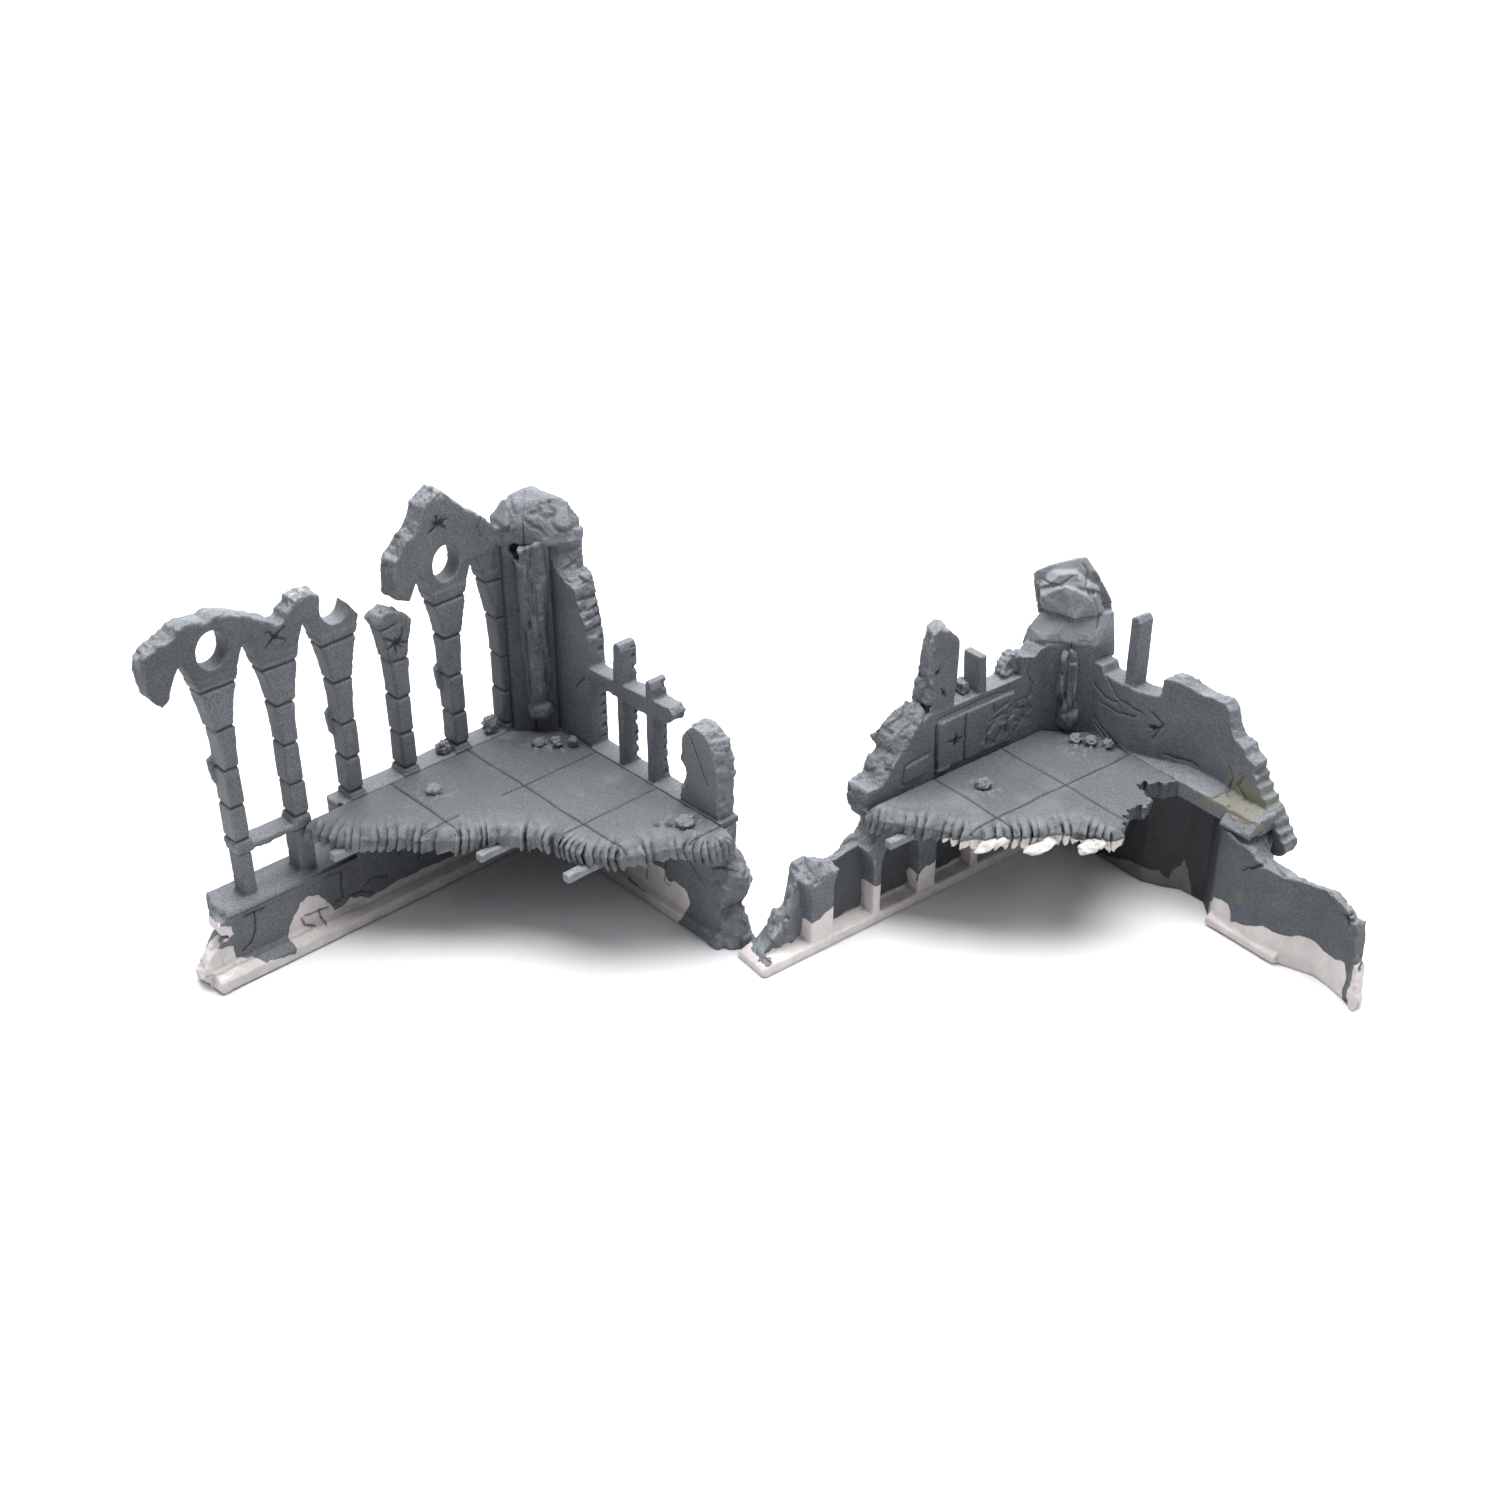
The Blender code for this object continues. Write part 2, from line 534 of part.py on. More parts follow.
def right_upper_front():
    sill = WINDOW_SILL
    slope = [(145.5, 61), (146, 74), (145.5, 78.5), (135.5, 77.5), (131.8, 81.7), (128.5, 86.6),
             (123.9, 91.5), (118.6, 96.8), (114, 102.4), (110, 107), (104, sill)]
    rear = [(146, 61), (148.5, 69), (150, 75.5), (149, 81), (140, 83.5), (137, 89), (130.5, 95.5),
            (134, 103), (126, 109), (112, 114.3), (104, 115)]
    rest = [(102, sill), (36, sill), (36.5, 121), (27, 117.5), (23, 121), (10, 121), (10, 61)]
    wall = lofted([(0.0, slope + rest), (-12.4, rear + rest)], along_x)
    post_front = [(102, 100), (102.5, 120), (103, 140), (104, 156), (99, 158), (92, 154), (84.3, 147),
                  (84.4, 125), (86.2, 108), (86.2, 100)]
    post_back = [(104, 100), (104, 119), (99.5, 147), (97, 155.5), (93, 157), (88, 154.5), (84, 148),
                 (84.4, 125), (86.2, 108), (86.2, 100)]
    mullion = [(62, 104), (67.5, 104), (69, 131.4), (63.8, 131.4)]
    rubble = [(31, 104), (45, 104), (46, 112), (43, 118), (38, 120), (31, 119)]
    shapes = [
        wall,
        block((WALL_BACK, FLOOR_TOP - RIGHT_STRIP), (145, FLOOR_TOP - 0.6), -GAP, WALL_BACK, along_x),
        prism(post_front, -0.3, WALL_BACK, along_x, post_back),
        prism(mullion, -0.2, -12.8, along_x),
        prism(rubble, -4.5, -12.6, along_x),
        block((42, 72), (97, 102), -3.0, 1.6, along_x),
        block((20, 61), (130, 72.0), -3.0, -0.35, along_x),
        corner_post(FLOOR_TOP - RIGHT_STRIP, 122.0, along_x)]
    shapes += [boulder(corners) for corners in RIGHT_CAP]
    return mitred(united(shapes), along_x)


def right_upper_side():
    plan = [(WALL_BACK, WALL_BACK), (WALL_BACK, 50), (-25, 76), (-25, 152), (-14.2, 152), (-13.6, 134),
            (-13.5, 117), (-16, 96), (-16, 79), (-8, 64), (-3, 56), (-0.6, 48), (-0.6, WALL_BACK)]
    broken = [(4, 61), (138, 61), (138, 47), (141, 46), (145, 48), (147, 52), (146, 56), (143, 57), (142.5, 60.5),
              (139.5, 61), (139, 65), (136.5, 66), (134, 71), (131.5, 71.5), (130.5, 75), (127.5, 76),
              (126.5, 80.5), (123, 81), (123, 85), (120, 86), (121, 92), (115, 94), (113, 98), (106, 99.5),
              (102, 104), (99, 113), (95, 117), (87, 115.5), (78, 115), (70, 119), (63, 120.5), (61, 119),
              (60.7, WINDOW_SILL), (26, WINDOW_SILL), (24, 113), (4, 113)]
    wall = crossed(prism(plan, 40.0, 200.0, from_above), prism(broken, 30.0, -60.0, along_y))
    strip = prism([(WALL_BACK, WALL_BACK), (WALL_BACK, 50), (-24.7, 76), (-24.7, 136), (-5, 137.5), (0, 134),
                   (-GAP, 86), (-GAP, WALL_BACK)], FLOOR_TOP - RIGHT_STRIP, FLOOR_TOP, from_above)
    weathering = run([(-8, 61), (5, 61), (5, 63), (-2, FLOOR_TOP - 0.4), (-8, FLOOR_TOP - 0.4)],
                     117.0, 137.0, along_y)
    post = [(39.5, 104), (45.5, 104), (45.5, 147), (43, 150), (39.5, 148.5)]
    shapes = [
        wall, strip, weathering,
        prism(post, -1.6, -12.4, along_y),
        corner_post(FLOOR_TOP - RIGHT_STRIP, 122.0, along_y)]
    shapes += [boulder(corners) for corners in RIGHT_CAP]
    return mitred(united(shapes), along_y)


def right_ruin(frame):
    def add(shape, name, look=PRIMED):
        finish(shape, "right_" + name, look, frame)

    add(right_lower_front(), "lower_front_wall")
    add(right_lower_side(), "lower_side_wall")
    add(right_upper_front(), "upper_front_wall")
    add(right_upper_side(), "upper_side_wall")
    add(slab([(CHAMFER + 1.2, 2.2), (144.5, 2.2), (147, GAP), (152, 5), (144, 15), (130, 34), (123, 48),
              (107, 61), (90, 72), (74, 82), (65, 97), (57, 100), (54, 94), (49, 93.5), (49, 89), (43, 89),
              (43, 86.5), (33, 88), (33, 91), (26, 89), (24, 84), (22, 77), (20, 73), (14, 73.5),
              (14, 77), (9, 78), (9, 81), (GAP, 85), (GAP, CHAMFER + 1.2)]), "floor_slab")
    add(rod(20.5, 149.0), "floor_rod", BARE_ROD)
    robe = [(5.4, 82), (-3.2, 82), (-4.3, 90), (-6.2, 96), (-4.6, 107), (-5.4, 117), (-3.0, 120), (-0.4, 120.4),
            (2.1, 117.5), (3.6, 108), (5.1, 96)]
    add(corner_figure(robe, (1.2, 78.9), (5.8, 6.2, 7.8)), "corner_figure")
    for number, (centre, radii, seed) in enumerate((
            ((111, 58, 57.4), (10.0, 4.6, 2.5), 51),
            ((92, 74.5, 57.2), (10.0, 5.0, 2.6), 52),
            ((70, 91, 57.2), (11.0, 6.0, 2.6), 53)), 1):
        add(lump(centre, radii, seed, points=30), f"filler_{number}", FILLER)
    stones = {
        "stone_on_tiles": ((86, 25, 72.2), (5.6, 4.8, 3.2)),
        "corner_stone_a": ((15, 24, 72.6), (4.6, 3.8, 3.2)),
        "corner_stone_b": ((10, 31, 72.9), (4.6, 3.8, 3.6)),
        "corner_stone_c": ((5, 38, 72.6), (3.8, 3.4, 3.2)),
    }
    for seed, (name, (centre, radii)) in enumerate(stones.items(), 61):
        add(rested_stone(centre, radii, seed), name, STONE)
    add(block((70.4, WINDOW_SILL + GAP), (75.4, 115), -5.0, -12.5, along_x), "sill_block", STONE)


# ---------------------------------------------------------------- the pair


def ruin_frame(name, place, turn):
    frame = bpy.data.objects.new(name, None)
    bpy.context.collection.objects.link(frame)
    frame.location = (place[0] * MM, place[1] * MM, 0.0)
    frame.rotation_euler = (0.0, 0.0, turn)
    return frame


def centre(frames):
    """Moves the pair so that the middle of its footprint is the origin."""
    bpy.context.view_layer.update()
    corners = [obj.matrix_world @ v.co for obj in bpy.data.objects if obj.type == "MESH"
               for v in obj.data.vertices]
    for axis in (0, 1):
        spread = [corner[axis] for corner in corners]
        for frame in frames:
            frame.location[axis] -= (min(spread) + max(spread)) / 2
    bpy.context.view_layer.update()


def main():
    for obj in list(bpy.data.objects):
        bpy.data.objects.remove(obj)
    frames = (ruin_frame("left_ruin_frame", LEFT_PLACE, LEFT_TURN),
              ruin_frame("right_ruin_frame", RIGHT_PLACE, RIGHT_TURN))
    left_ruin(frames[0])
    right_ruin(frames[1])
    centre(frames)


main()
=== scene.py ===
"""Looks of two ruined corners in cast resin, grey primer over pale resin.

Each casting of the frame is recut as a fine mesh and worked over: block joints, cracks, chipped edges, rough
breaks, and the places that the primer missed. A ruin is worked in its own frame, in millimetres: its inner
corner is the origin, x runs along the front wall, y along the side wall, and z is up.
"""

import itertools
import json
import math

import bmesh
import bpy
import numpy as np
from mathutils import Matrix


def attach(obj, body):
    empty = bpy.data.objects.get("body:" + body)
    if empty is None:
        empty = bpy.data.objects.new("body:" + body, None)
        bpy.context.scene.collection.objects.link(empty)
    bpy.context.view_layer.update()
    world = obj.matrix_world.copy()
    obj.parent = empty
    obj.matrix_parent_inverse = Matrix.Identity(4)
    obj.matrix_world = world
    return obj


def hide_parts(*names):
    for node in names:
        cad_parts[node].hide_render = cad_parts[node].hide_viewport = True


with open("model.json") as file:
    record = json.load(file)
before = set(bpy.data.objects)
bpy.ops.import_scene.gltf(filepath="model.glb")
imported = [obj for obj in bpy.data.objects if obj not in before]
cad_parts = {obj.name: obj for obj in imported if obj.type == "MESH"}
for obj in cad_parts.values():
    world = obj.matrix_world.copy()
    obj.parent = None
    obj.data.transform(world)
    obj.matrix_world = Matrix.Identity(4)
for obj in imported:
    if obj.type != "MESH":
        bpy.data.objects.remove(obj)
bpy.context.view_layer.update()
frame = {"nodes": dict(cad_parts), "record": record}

MM = 0.001
TURN = {"left": math.radians(223.5), "right": math.radians(218.4)}
FOOT_MARK = (100.0, -5.0)  # where a ruin's foot mount is, in its own frame
FLOOR_TOP = 70.0

PITCH = 34.0  # from column to column
FIRST_COLUMN = 17.5  # how far the column by the corner stands from it
SPRING, APEX = 112.0, 182.0
COLUMN_HALF = 3.9
BLOCK_JOINTS = (94.0, 116.0, 139.5, 162.0)
TILE = 50.0
SLAB = 9.7  # a floor slab's thickness
PILASTER = 18.5  # how far the pilaster in a corner reaches along each wall
BRICK_LENGTH, BRICK_HEIGHT = 28.0, 13.0
FAR_OUTSIDE = -9.0  # what a point outside every patch says of how far inside one it is


# ---------------------------------------------------------------- noise


def hashed(cells, seed):
    """A repeatable number from 0 to 1 for each row of whole numbers."""
    mixed = cells.astype(np.int64) @ np.array([374761393, 668265263, 974711411]) + seed * 362437
    mixed = (mixed ^ (mixed >> 13)) * 1274126177
    mixed = mixed ^ (mixed >> 16)
    return (mixed & 0xFFFFFF) / 0xFFFFFF


def noise(points, size, seed):
    """Smooth noise from -1 to 1, with features about size mm across."""
    low = np.floor(points / size)
    part = points / size - low
    part = part * part * (3 - 2 * part)
    total = np.zeros(len(points))
    for corner in itertools.product((0, 1), repeat=3):
        weight = np.prod(np.where(corner, part, 1 - part), axis=1)
        total += weight * hashed(low + corner, seed)
    return 2 * total - 1


def rough(points, size, octaves, seed):
    """Noise with finer and fainter noise over it, octaves times."""
    return sum(noise(points, size / 2**k, seed + k) / 2**k for k in range(octaves))


def facets(points, size, seed):
    """Heights, from about -1 to 1, of flat chips about size mm across, each tilted its own way."""
    home = np.floor(points / size)
    nearest = np.full(len(points), np.inf)
    height = np.zeros(len(points))
    for step in itertools.product((-1, 0, 1), repeat=3):
        cell = home + step
        middle = cell + np.stack([hashed(cell, seed + k) for k in (1, 2, 3)], axis=1)
        away = points / size - middle
        gap = (away**2).sum(axis=1)
        tilt = np.stack([hashed(cell, seed + k) - 0.5 for k in (4, 5, 6)], axis=1)
        here = 2.2 * (away * tilt).sum(axis=1) + hashed(cell, seed + 7) - 0.5
        closer = gap < nearest
        nearest = np.where(closer, gap, nearest)
        height = np.where(closer, here, height)
    return height


def fade(value, low, high):
    """0 at low and 1 at high, smooth between them."""
    part = np.clip((value - low) / (high - low), 0, 1)
    return part * part * (3 - 2 * part)


# ---------------------------------------------------------------- lines and patches


def along(a, b, line):
    """Distance from each (a, b) to a broken line, and how far along it the nearest place is."""
    best = np.full(len(a), np.inf)
    reached = np.zeros(len(a))
    passed = 0.0
    for (pa, pb), (qa, qb) in zip(line, line[1:]):
        length = math.dist((pa, pb), (qa, qb))
        t = np.clip(((a - pa) * (qa - pa) + (b - pb) * (qb - pb)) / length**2, 0, 1)
        gap = np.hypot(a - pa - t * (qa - pa), b - pb - t * (qb - pb))
        reached = np.where(gap < best, passed + t * length, reached)
        best = np.minimum(best, gap)
        passed += length
    return best, reached


def within(a, b, outline):
    """How far each (a, b) lies inside a closed outline, negative outside."""
    gap, _ = along(a, b, outline + outline[:1])
    odd = np.zeros(len(a), bool)
    for (pa, pb), (qa, qb) in zip(outline, outline[1:] + outline[:1]):
        if pb != qb:
            odd ^= ((b < pb) != (b < qb)) & (a < pa + (qa - pa) * (b - pb) / (qb - pb))
    return np.where(odd, gap, -gap)


# ---------------------------------------------------------------- castings


def ruin_origin(side):
    """Where a ruin's inner corner stands, worked back from the mount under its foot."""
    mount = next(m for m in frame["record"]["mounts"] if m["name"] == side + "_foot")
    x, y = FOOT_MARK
    c, s = math.cos(TURN[side]), math.sin(TURN[side])
    return np.array([mount["pos_m"][0] - (x * c - y * s) * MM, mount["pos_m"][1] - (x * s + y * c) * MM, 0.0])


ORIGIN = {side: ruin_origin(side) for side in TURN}
AXES = {side: np.array([[math.cos(t), -math.sin(t), 0], [math.sin(t), math.cos(t), 0], [0, 0, 1]])
        for side, t in TURN.items()}


def in_ruin(mesh, side):
    """A mesh's points in its ruin's own frame, in millimetres."""
    return ((read(mesh) - ORIGIN[side]) @ AXES[side]) / MM


def read(mesh):
    """A mesh's points, one row each."""
    points = np.empty(len(mesh.vertices) * 3)
    mesh.vertices.foreach_get("co", points)
    return points.reshape(-1, 3)


class Casting:
    """A CAD node recut as a fine mesh, with its points in its ruin's frame and what is painted on them."""

    def __init__(self, node, voxel):
        self.node = node
        self.side = node.split("_")[0]
        self.voxel = voxel * 1.0
        self.obj = self.recut()
        self.points = read(self.obj.data)
        edges = np.empty(len(self.obj.data.edges) * 2, np.int64)
        self.obj.data.edges.foreach_get("vertices", edges)
        self.edges = edges.reshape(-1, 2)
        self.bare = np.full(len(self.points), FAR_OUTSIDE)  # mm inside a patch that the primer missed
        self.stain = np.full(len(self.points), FAR_OUTSIDE)  # mm inside a stained patch
        self.dark = np.zeros(len(self.points))  # in a crack or a joint, and painted shade
        self.pale = np.zeros(len(self.points))  # rubbed or dusty, and painted highlights
        self.sound = np.zeros(len(self.points))  # 1 where the edges keep their shape
        self.renew()

    def recut(self):
        """The node's shape as a new object, remeshed in small even faces."""
        source = frame["nodes"][self.node].data
        mesh = source.copy()
        mesh.name = self.node + "_fine"
        mesh.materials.clear()
        mesh.vertices.foreach_set("co", in_ruin(source, self.side).ravel())
        obj = bpy.data.objects.new(self.node + "_fine", mesh)
        bpy.context.scene.collection.objects.link(obj)
        welded = bmesh.new()
        welded.from_mesh(mesh)
        bmesh.ops.remove_doubles(welded, verts=welded.verts, dist=0.001)
        welded.to_mesh(mesh)
        welded.free()
        modifier = obj.modifiers.new("recut", "REMESH")
        modifier.mode = "VOXEL"
        modifier.voxel_size = self.voxel
        graph = bpy.context.evaluated_depsgraph_get()
        fine = bpy.data.meshes.new_from_object(obj.evaluated_get(graph))
        obj.modifiers.clear()
        obj.data = fine
        fine.name = self.node + "_fine"
        bpy.data.meshes.remove(mesh)
        return obj

    def renew(self):
        """Works out the normals of the points as they stand."""
        self.obj.data.vertices.foreach_set("co", self.points.ravel())
        self.obj.data.update()
        normals = np.empty(len(self.points) * 3)
        self.obj.data.vertex_normals.foreach_get("vector", normals)
        self.normals = normals.reshape(-1, 3)
        self.x, self.y, self.z = self.points.T
        self.nx, self.ny, self.nz = self.normals.T

    def across(self):
        """How far each point is from the plane that halves the corner, positive towards the side wall."""
        return (self.y - self.x) / math.sqrt(2)

    def push(self, amount):
        """Moves each point out along its normal."""
        self.points += self.normals * amount[:, None]
        self.x, self.y, self.z = self.points.T

    def averaged(self, values):
        """Each point's value averaged with its neighbours'."""
        if values.ndim > 1:
            return np.stack([self.averaged(column) for column in values.T], axis=1)
        total, count = values.copy(), np.ones(len(values))
        for here, there in (self.edges.T, self.edges.T[::-1]):
            count += np.bincount(here, minlength=len(values))
            total += np.bincount(here, values[there], len(values))
        return total / count

    def smooth(self, times, amount):
        """Moves each point part of the way to its neighbours' middle."""
        for _ in range(times):
            self.points += amount * (self.averaged(self.points) - self.points)
        self.renew()

    def edge_wear(self, depth, seed):
        """Chips the sharp outer edges by up to depth mm, and rubs them pale. Hollows get painted shade."""
        bulge = -((self.averaged(self.points) - self.points) * self.normals).sum(axis=1) / self.voxel
        for _ in range(3):
            bulge = self.averaged(bulge)
        # Painted shade in the hollows.
        self.darken(0.42 * fade(-bulge, 0.02, 0.1) * (1 - self.sound))
        sharp = fade(bulge, 0.02, 0.12) * (1 - self.sound)
        patchy = fade(rough(self.points, 6.0, 3, seed + 11), -0.35, 0.9)
        self.push(-depth * sharp * (0.25 + 0.75 * patchy))
        rubbed = fade(rough(self.points, 5.0, 3, seed + 23), 0.1, 0.9)
        self.lighten(sharp * rubbed * 0.55)

    def weather(self, amount, seed):
        """Slightly uneven faces, as of worn stone."""
        self.push(amount * rough(self.points, 14.0, 3, seed) + 0.06 * noise(self.points, 1.6, seed + 5))

    def broken(self, where, size, height, seed, grit=1.0):
        """Turns the faces of a break, where is from 0 to 1, into chips and grit."""
        some = np.flatnonzero(where > 0.01)
        if not len(some):
            return
        points = self.points[some]
        bent = points + 1.5 * np.stack([noise(points, 5.0, seed + k) for k in range(3)], axis=1)
        lift = height * facets(bent, size, seed) + 0.35 * grit * height * facets(bent, size * 0.4, seed + 40)
        lift += 0.25 * grit * rough(points, 3.0, 2, seed + 60)
        amount = np.zeros(len(self.points))
        amount[some] = lift * where[some]
        for _ in range(2):
            amount = 0.5 * amount + 0.5 * self.averaged(amount)
        self.push(amount)
        dusty = fade(rough(bent, 9.0, 3, seed + 9), 0.0, 0.9)
        self.pale[some] = np.maximum(self.pale[some], 0.3 * where[some] * dusty)
        self.renew()

    def cut(self, where, distance, width, depth, ink=1.0):
        """A groove along a line that lies distance mm away, on the points where is true."""
        shape = np.where(where, np.clip(1 - distance / width, 0, 1), 0)
        self.push(-depth * shape**0.8)
        self.darken(ink * fade(shape, 0.25, 0.85))

    def crack(self, where, a, b, line, width=0.75, depth=0.7, wander=0.5, ink=1.0):
        """A thin crack along a line of (a, b) points on one face."""
        shift = wander * noise(self.points, 3.0, 71), wander * noise(self.points, 3.0, 72)
        gap, _ = along(a + shift[0], b + shift[1], line)
        self.cut(where, gap, width, depth, ink)

    def star(self, where, a, b, middle, size, rays, seed):
        """A bullet's mark: a pit with cracks that run out from it."""
        da, db = a - middle[0], b - middle[1]
        away = np.hypot(da, db)
        turn = np.arctan2(db, da) + 0.25 * noise(self.points, 3.0, seed)
        cuts = np.zeros(len(a))
        for ray in range(rays):
            angle = 2 * math.pi * (ray + 0.35 * math.sin(5.1 * ray + seed)) / rays
            reach = size * (0.62 + 0.38 * math.sin(3.3 * ray + seed))
            off = np.abs(np.angle(np.exp(1j * (turn - angle)))) * away
            wide = 0.75 + 0.7 * fade(reach - away, 0, reach)
            cuts = np.maximum(cuts, np.clip(1 - off / wide, 0, 1) * fade(reach - away, 0, 0.5 * reach))
        pit = fade(2.0 - away, 0, 1.4)
        cuts = np.where(where, np.maximum(cuts, pit), 0)
        self.push(-1.0 * cuts)
        self.darken(fade(cuts, 0.25, 0.8))

    def close_corner(self):
        """Brings the two halves of a corner rock together where they meet at the mitre."""
        across = self.across()
        rock = (self.side == "right") & (self.z > 124) & (np.hypot(self.x, self.y) < 45)
        near = fade(1.6 - np.abs(across), 0, 1.2) * rock
        if not near.any():
            return
        self.sound = np.maximum(self.sound, near)
        step = np.array([1.0, -1.0, 0.0]) / math.sqrt(2) * (0.9 if across[near > 0].mean() > 0 else -0.9)
        self.points += np.outer(near, step)
        self.renew()

    def darken(self, amount):
        self.dark = np.maximum(self.dark, amount)

    def lighten(self, amount):
        self.pale = np.maximum(self.pale, amount)

    def leave_stain(self, where, inside):
        """Stains the points where is true, as far as inside is over 0."""
        self.stain = np.maximum(self.stain, np.where(where, inside, FAR_OUTSIDE))

    def leave_bare(self, where, inside):
        """Leaves the primer off the points where is true, as far as inside is over 0, with a ragged edge."""
        ragged = inside + 0.9 * rough(self.points, 5.0, 3, 91)
        self.bare = np.where(where, np.maximum(self.bare, ragged), self.bare)

    def bare_patch(self, where, a, outline):
        """Leaves the primer off inside an outline drawn on one face, as (a, z) points."""
        self.leave_bare(where, within(a, self.z, outline))

    def done(self, look):
        """Writes the points and the paint, in the frame's metres, and stands the piece in for its node."""
        self.points[:, 2] = np.maximum(self.points[:, 2], 0.0)
        world = (self.points * MM) @ AXES[self.side].T + ORIGIN[self.side]
        mesh = self.obj.data
        mesh.vertices.foreach_set("co", world.ravel())
        for name in ("bare", "stain", "dark", "pale"):
            made = mesh.attributes.new(name, "FLOAT", "POINT")
            made.data.foreach_set("value", getattr(self, name))
        mesh.materials.clear()
        mesh.materials.append(look)
        mesh.shade_smooth()
        mesh.update()
        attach(self.obj, self.side + "_ruin")
        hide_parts(self.node)


# ---------------------------------------------------------------- materials


class Nodes:
    """Short calls for building a material's node tree."""

    def __init__(self, name):
        self.material = bpy.data.materials.new(name)
        self.material.use_nodes = True
        self.tree = self.material.node_tree
        self.shader = self.tree.nodes["Principled BSDF"]
        place = self.tree.nodes.new("ShaderNodeTexCoord")
        self.place = place.outputs["Object"]

    def feed(self, socket, value):
        """Links another node's output to a socket, or sets it to a number or a colour."""
        if isinstance(value, bpy.types.NodeSocket):
            self.tree.links.new(value, socket)
        else:
            socket.default_value = (*value, 1.0) if isinstance(value, tuple) else value

    def shade(self, name, value):
        self.feed(self.shader.inputs[name], value)

    def add(self, kind, inputs, **settings):
        node = self.tree.nodes.new("ShaderNode" + kind)
        for name, value in settings.items():
            setattr(node, name, value)
        for name, value in inputs.items():
            self.feed(node.inputs[name], value)
        return node

    def noise(self, size_mm, detail=3.0, roughness=0.6):
        made = self.add("TexNoise", {"Vector": self.place, "Scale": 1 / (size_mm * MM),
                                     "Detail": detail, "Roughness": roughness})
        return made.outputs["Fac"]

    def remap(self, value, low, high, to_low=0.0, to_high=1.0):
        made = self.add("MapRange", {"Value": value, "From Min": low, "From Max": high,
                                     "To Min": to_low, "To Max": to_high})
        return made.outputs["Result"]

    def math(self, operation, a, b):
        return self.add("Math", {0: a, 1: b}, operation=operation).outputs[0]

    def mix(self, factor, first, second, blend="MIX"):
        """Mixes two colours. A Mix node keeps its colours' sockets at 6 and 7, and their result at 2."""
        made = self.add("Mix", {0: factor, 6: first, 7: second}, data_type="RGBA", blend_type=blend)
        return made.outputs[2]

    def painted(self, name):
        return self.add("Attribute", {}, attribute_name=name).outputs["Fac"]

    def upward(self):
        """How far the surface faces up, from -1 to 1."""
        normal = self.add("NewGeometry", {}).outputs["Normal"]
        return self.add("SeparateXYZ", {"Vector": normal}).outputs["Z"]


DUST = (0.34, 0.35, 0.36)
RUBBED_AND_HIGHLIT = (0.4, 0.425, 0.45)  # primer worn thin on an edge, and painted highlight
OLIVE = (0.19, 0.175, 0.125)
PALE_RESIN = (0.60, 0.553, 0.54), (0.74, 0.69, 0.68)  # where it is duller, and where brighter
SMUDGE = (0.3, 0.25, 0.22)
SHADOW = (0.008, 0.008, 0.01)  # painted shade, and deep in a crack or a joint
BACKDROP = (0.88, 0.88, 0.89)


def primed_resin(name, primer, light):
    """Matt grey primer over pale resin, with grain, rubbed edges, dust, cracks and bare patches. Faces that
    look up get a painted highlight, and the dark and pale paint carry painted shade and highlights too.
    """
    n = Nodes(name)
    cloudy = n.noise(22, 4.0)
    grain = n.noise(0.9, 2.0, 0.75)
    dull, bright = tuple(0.86 * c for c in primer), tuple(1.12 * c for c in primer)
    colour = n.mix(n.remap(cloudy, 0.3, 0.7), dull, bright)
    # Painted highlight: faces that look up are mixed up to halfway towards the lighter colour, as if lit from
    # above.
    colour = n.mix(n.remap(n.upward(), 0.1, 0.95, 0.0, 0.5), colour, light)
    speck = n.remap(grain, 0.3, 0.7, 0.55, 1.45)
    grey = n.add("CombineXYZ", {"X": speck, "Y": speck, "Z": speck}).outputs[0]
    colour = n.mix(1.0, colour, grey, "MULTIPLY")
    flecks = n.remap(n.noise(1.5, 2.0), 0.68, 0.74, 0.0, 0.25)
    colour = n.mix(flecks, colour, DUST)
    # pale: rubbed edges and dust, and painted highlights.
    colour = n.mix(n.math("MULTIPLY", n.painted("pale"), 0.75), colour, RUBBED_AND_HIGHLIT)
    inside = n.remap(n.painted("stain"), -1.0, 1.5)
    stained = n.math("MULTIPLY", inside, n.remap(n.noise(7), 0.25, 0.6, 0.35, 0.9))
    colour = n.mix(stained, colour, OLIVE)
    resin = n.mix(n.remap(n.noise(9, 4.0), 0.35, 0.7), *PALE_RESIN)
    smudge = n.remap(n.noise(3.5, 4.0, 0.7), 0.63, 0.72, 0.0, 0.5)
    resin = n.mix(smudge, resin, SMUDGE)
    ragged = n.math("ADD", n.painted("bare"), n.remap(n.noise(1.8), 0.0, 1.0, -0.35, 0.35))
    bare = n.remap(ragged, -0.12, 0.12)
    colour = n.mix(bare, colour, resin)
    # dark: cracks and joints, and painted shade in hollows, corners and under the floors.
    colour = n.mix(n.math("MULTIPLY", n.painted("dark"), 0.93), colour, SHADOW)
    n.shade("Base Color", colour)
    n.shade("Roughness", n.remap(grain, 0.3, 0.7, 0.62, 0.86))
    n.shade("Specular IOR Level", 0.35)
    height = n.math("ADD", n.math("MULTIPLY", grain, 0.5), n.noise(3.0, 3.0))
    bump = n.add("Bump", {"Height": height, "Strength": 0.55, "Distance": 0.00035})
    n.shade("Normal", bump.outputs["Normal"])
    return n.material


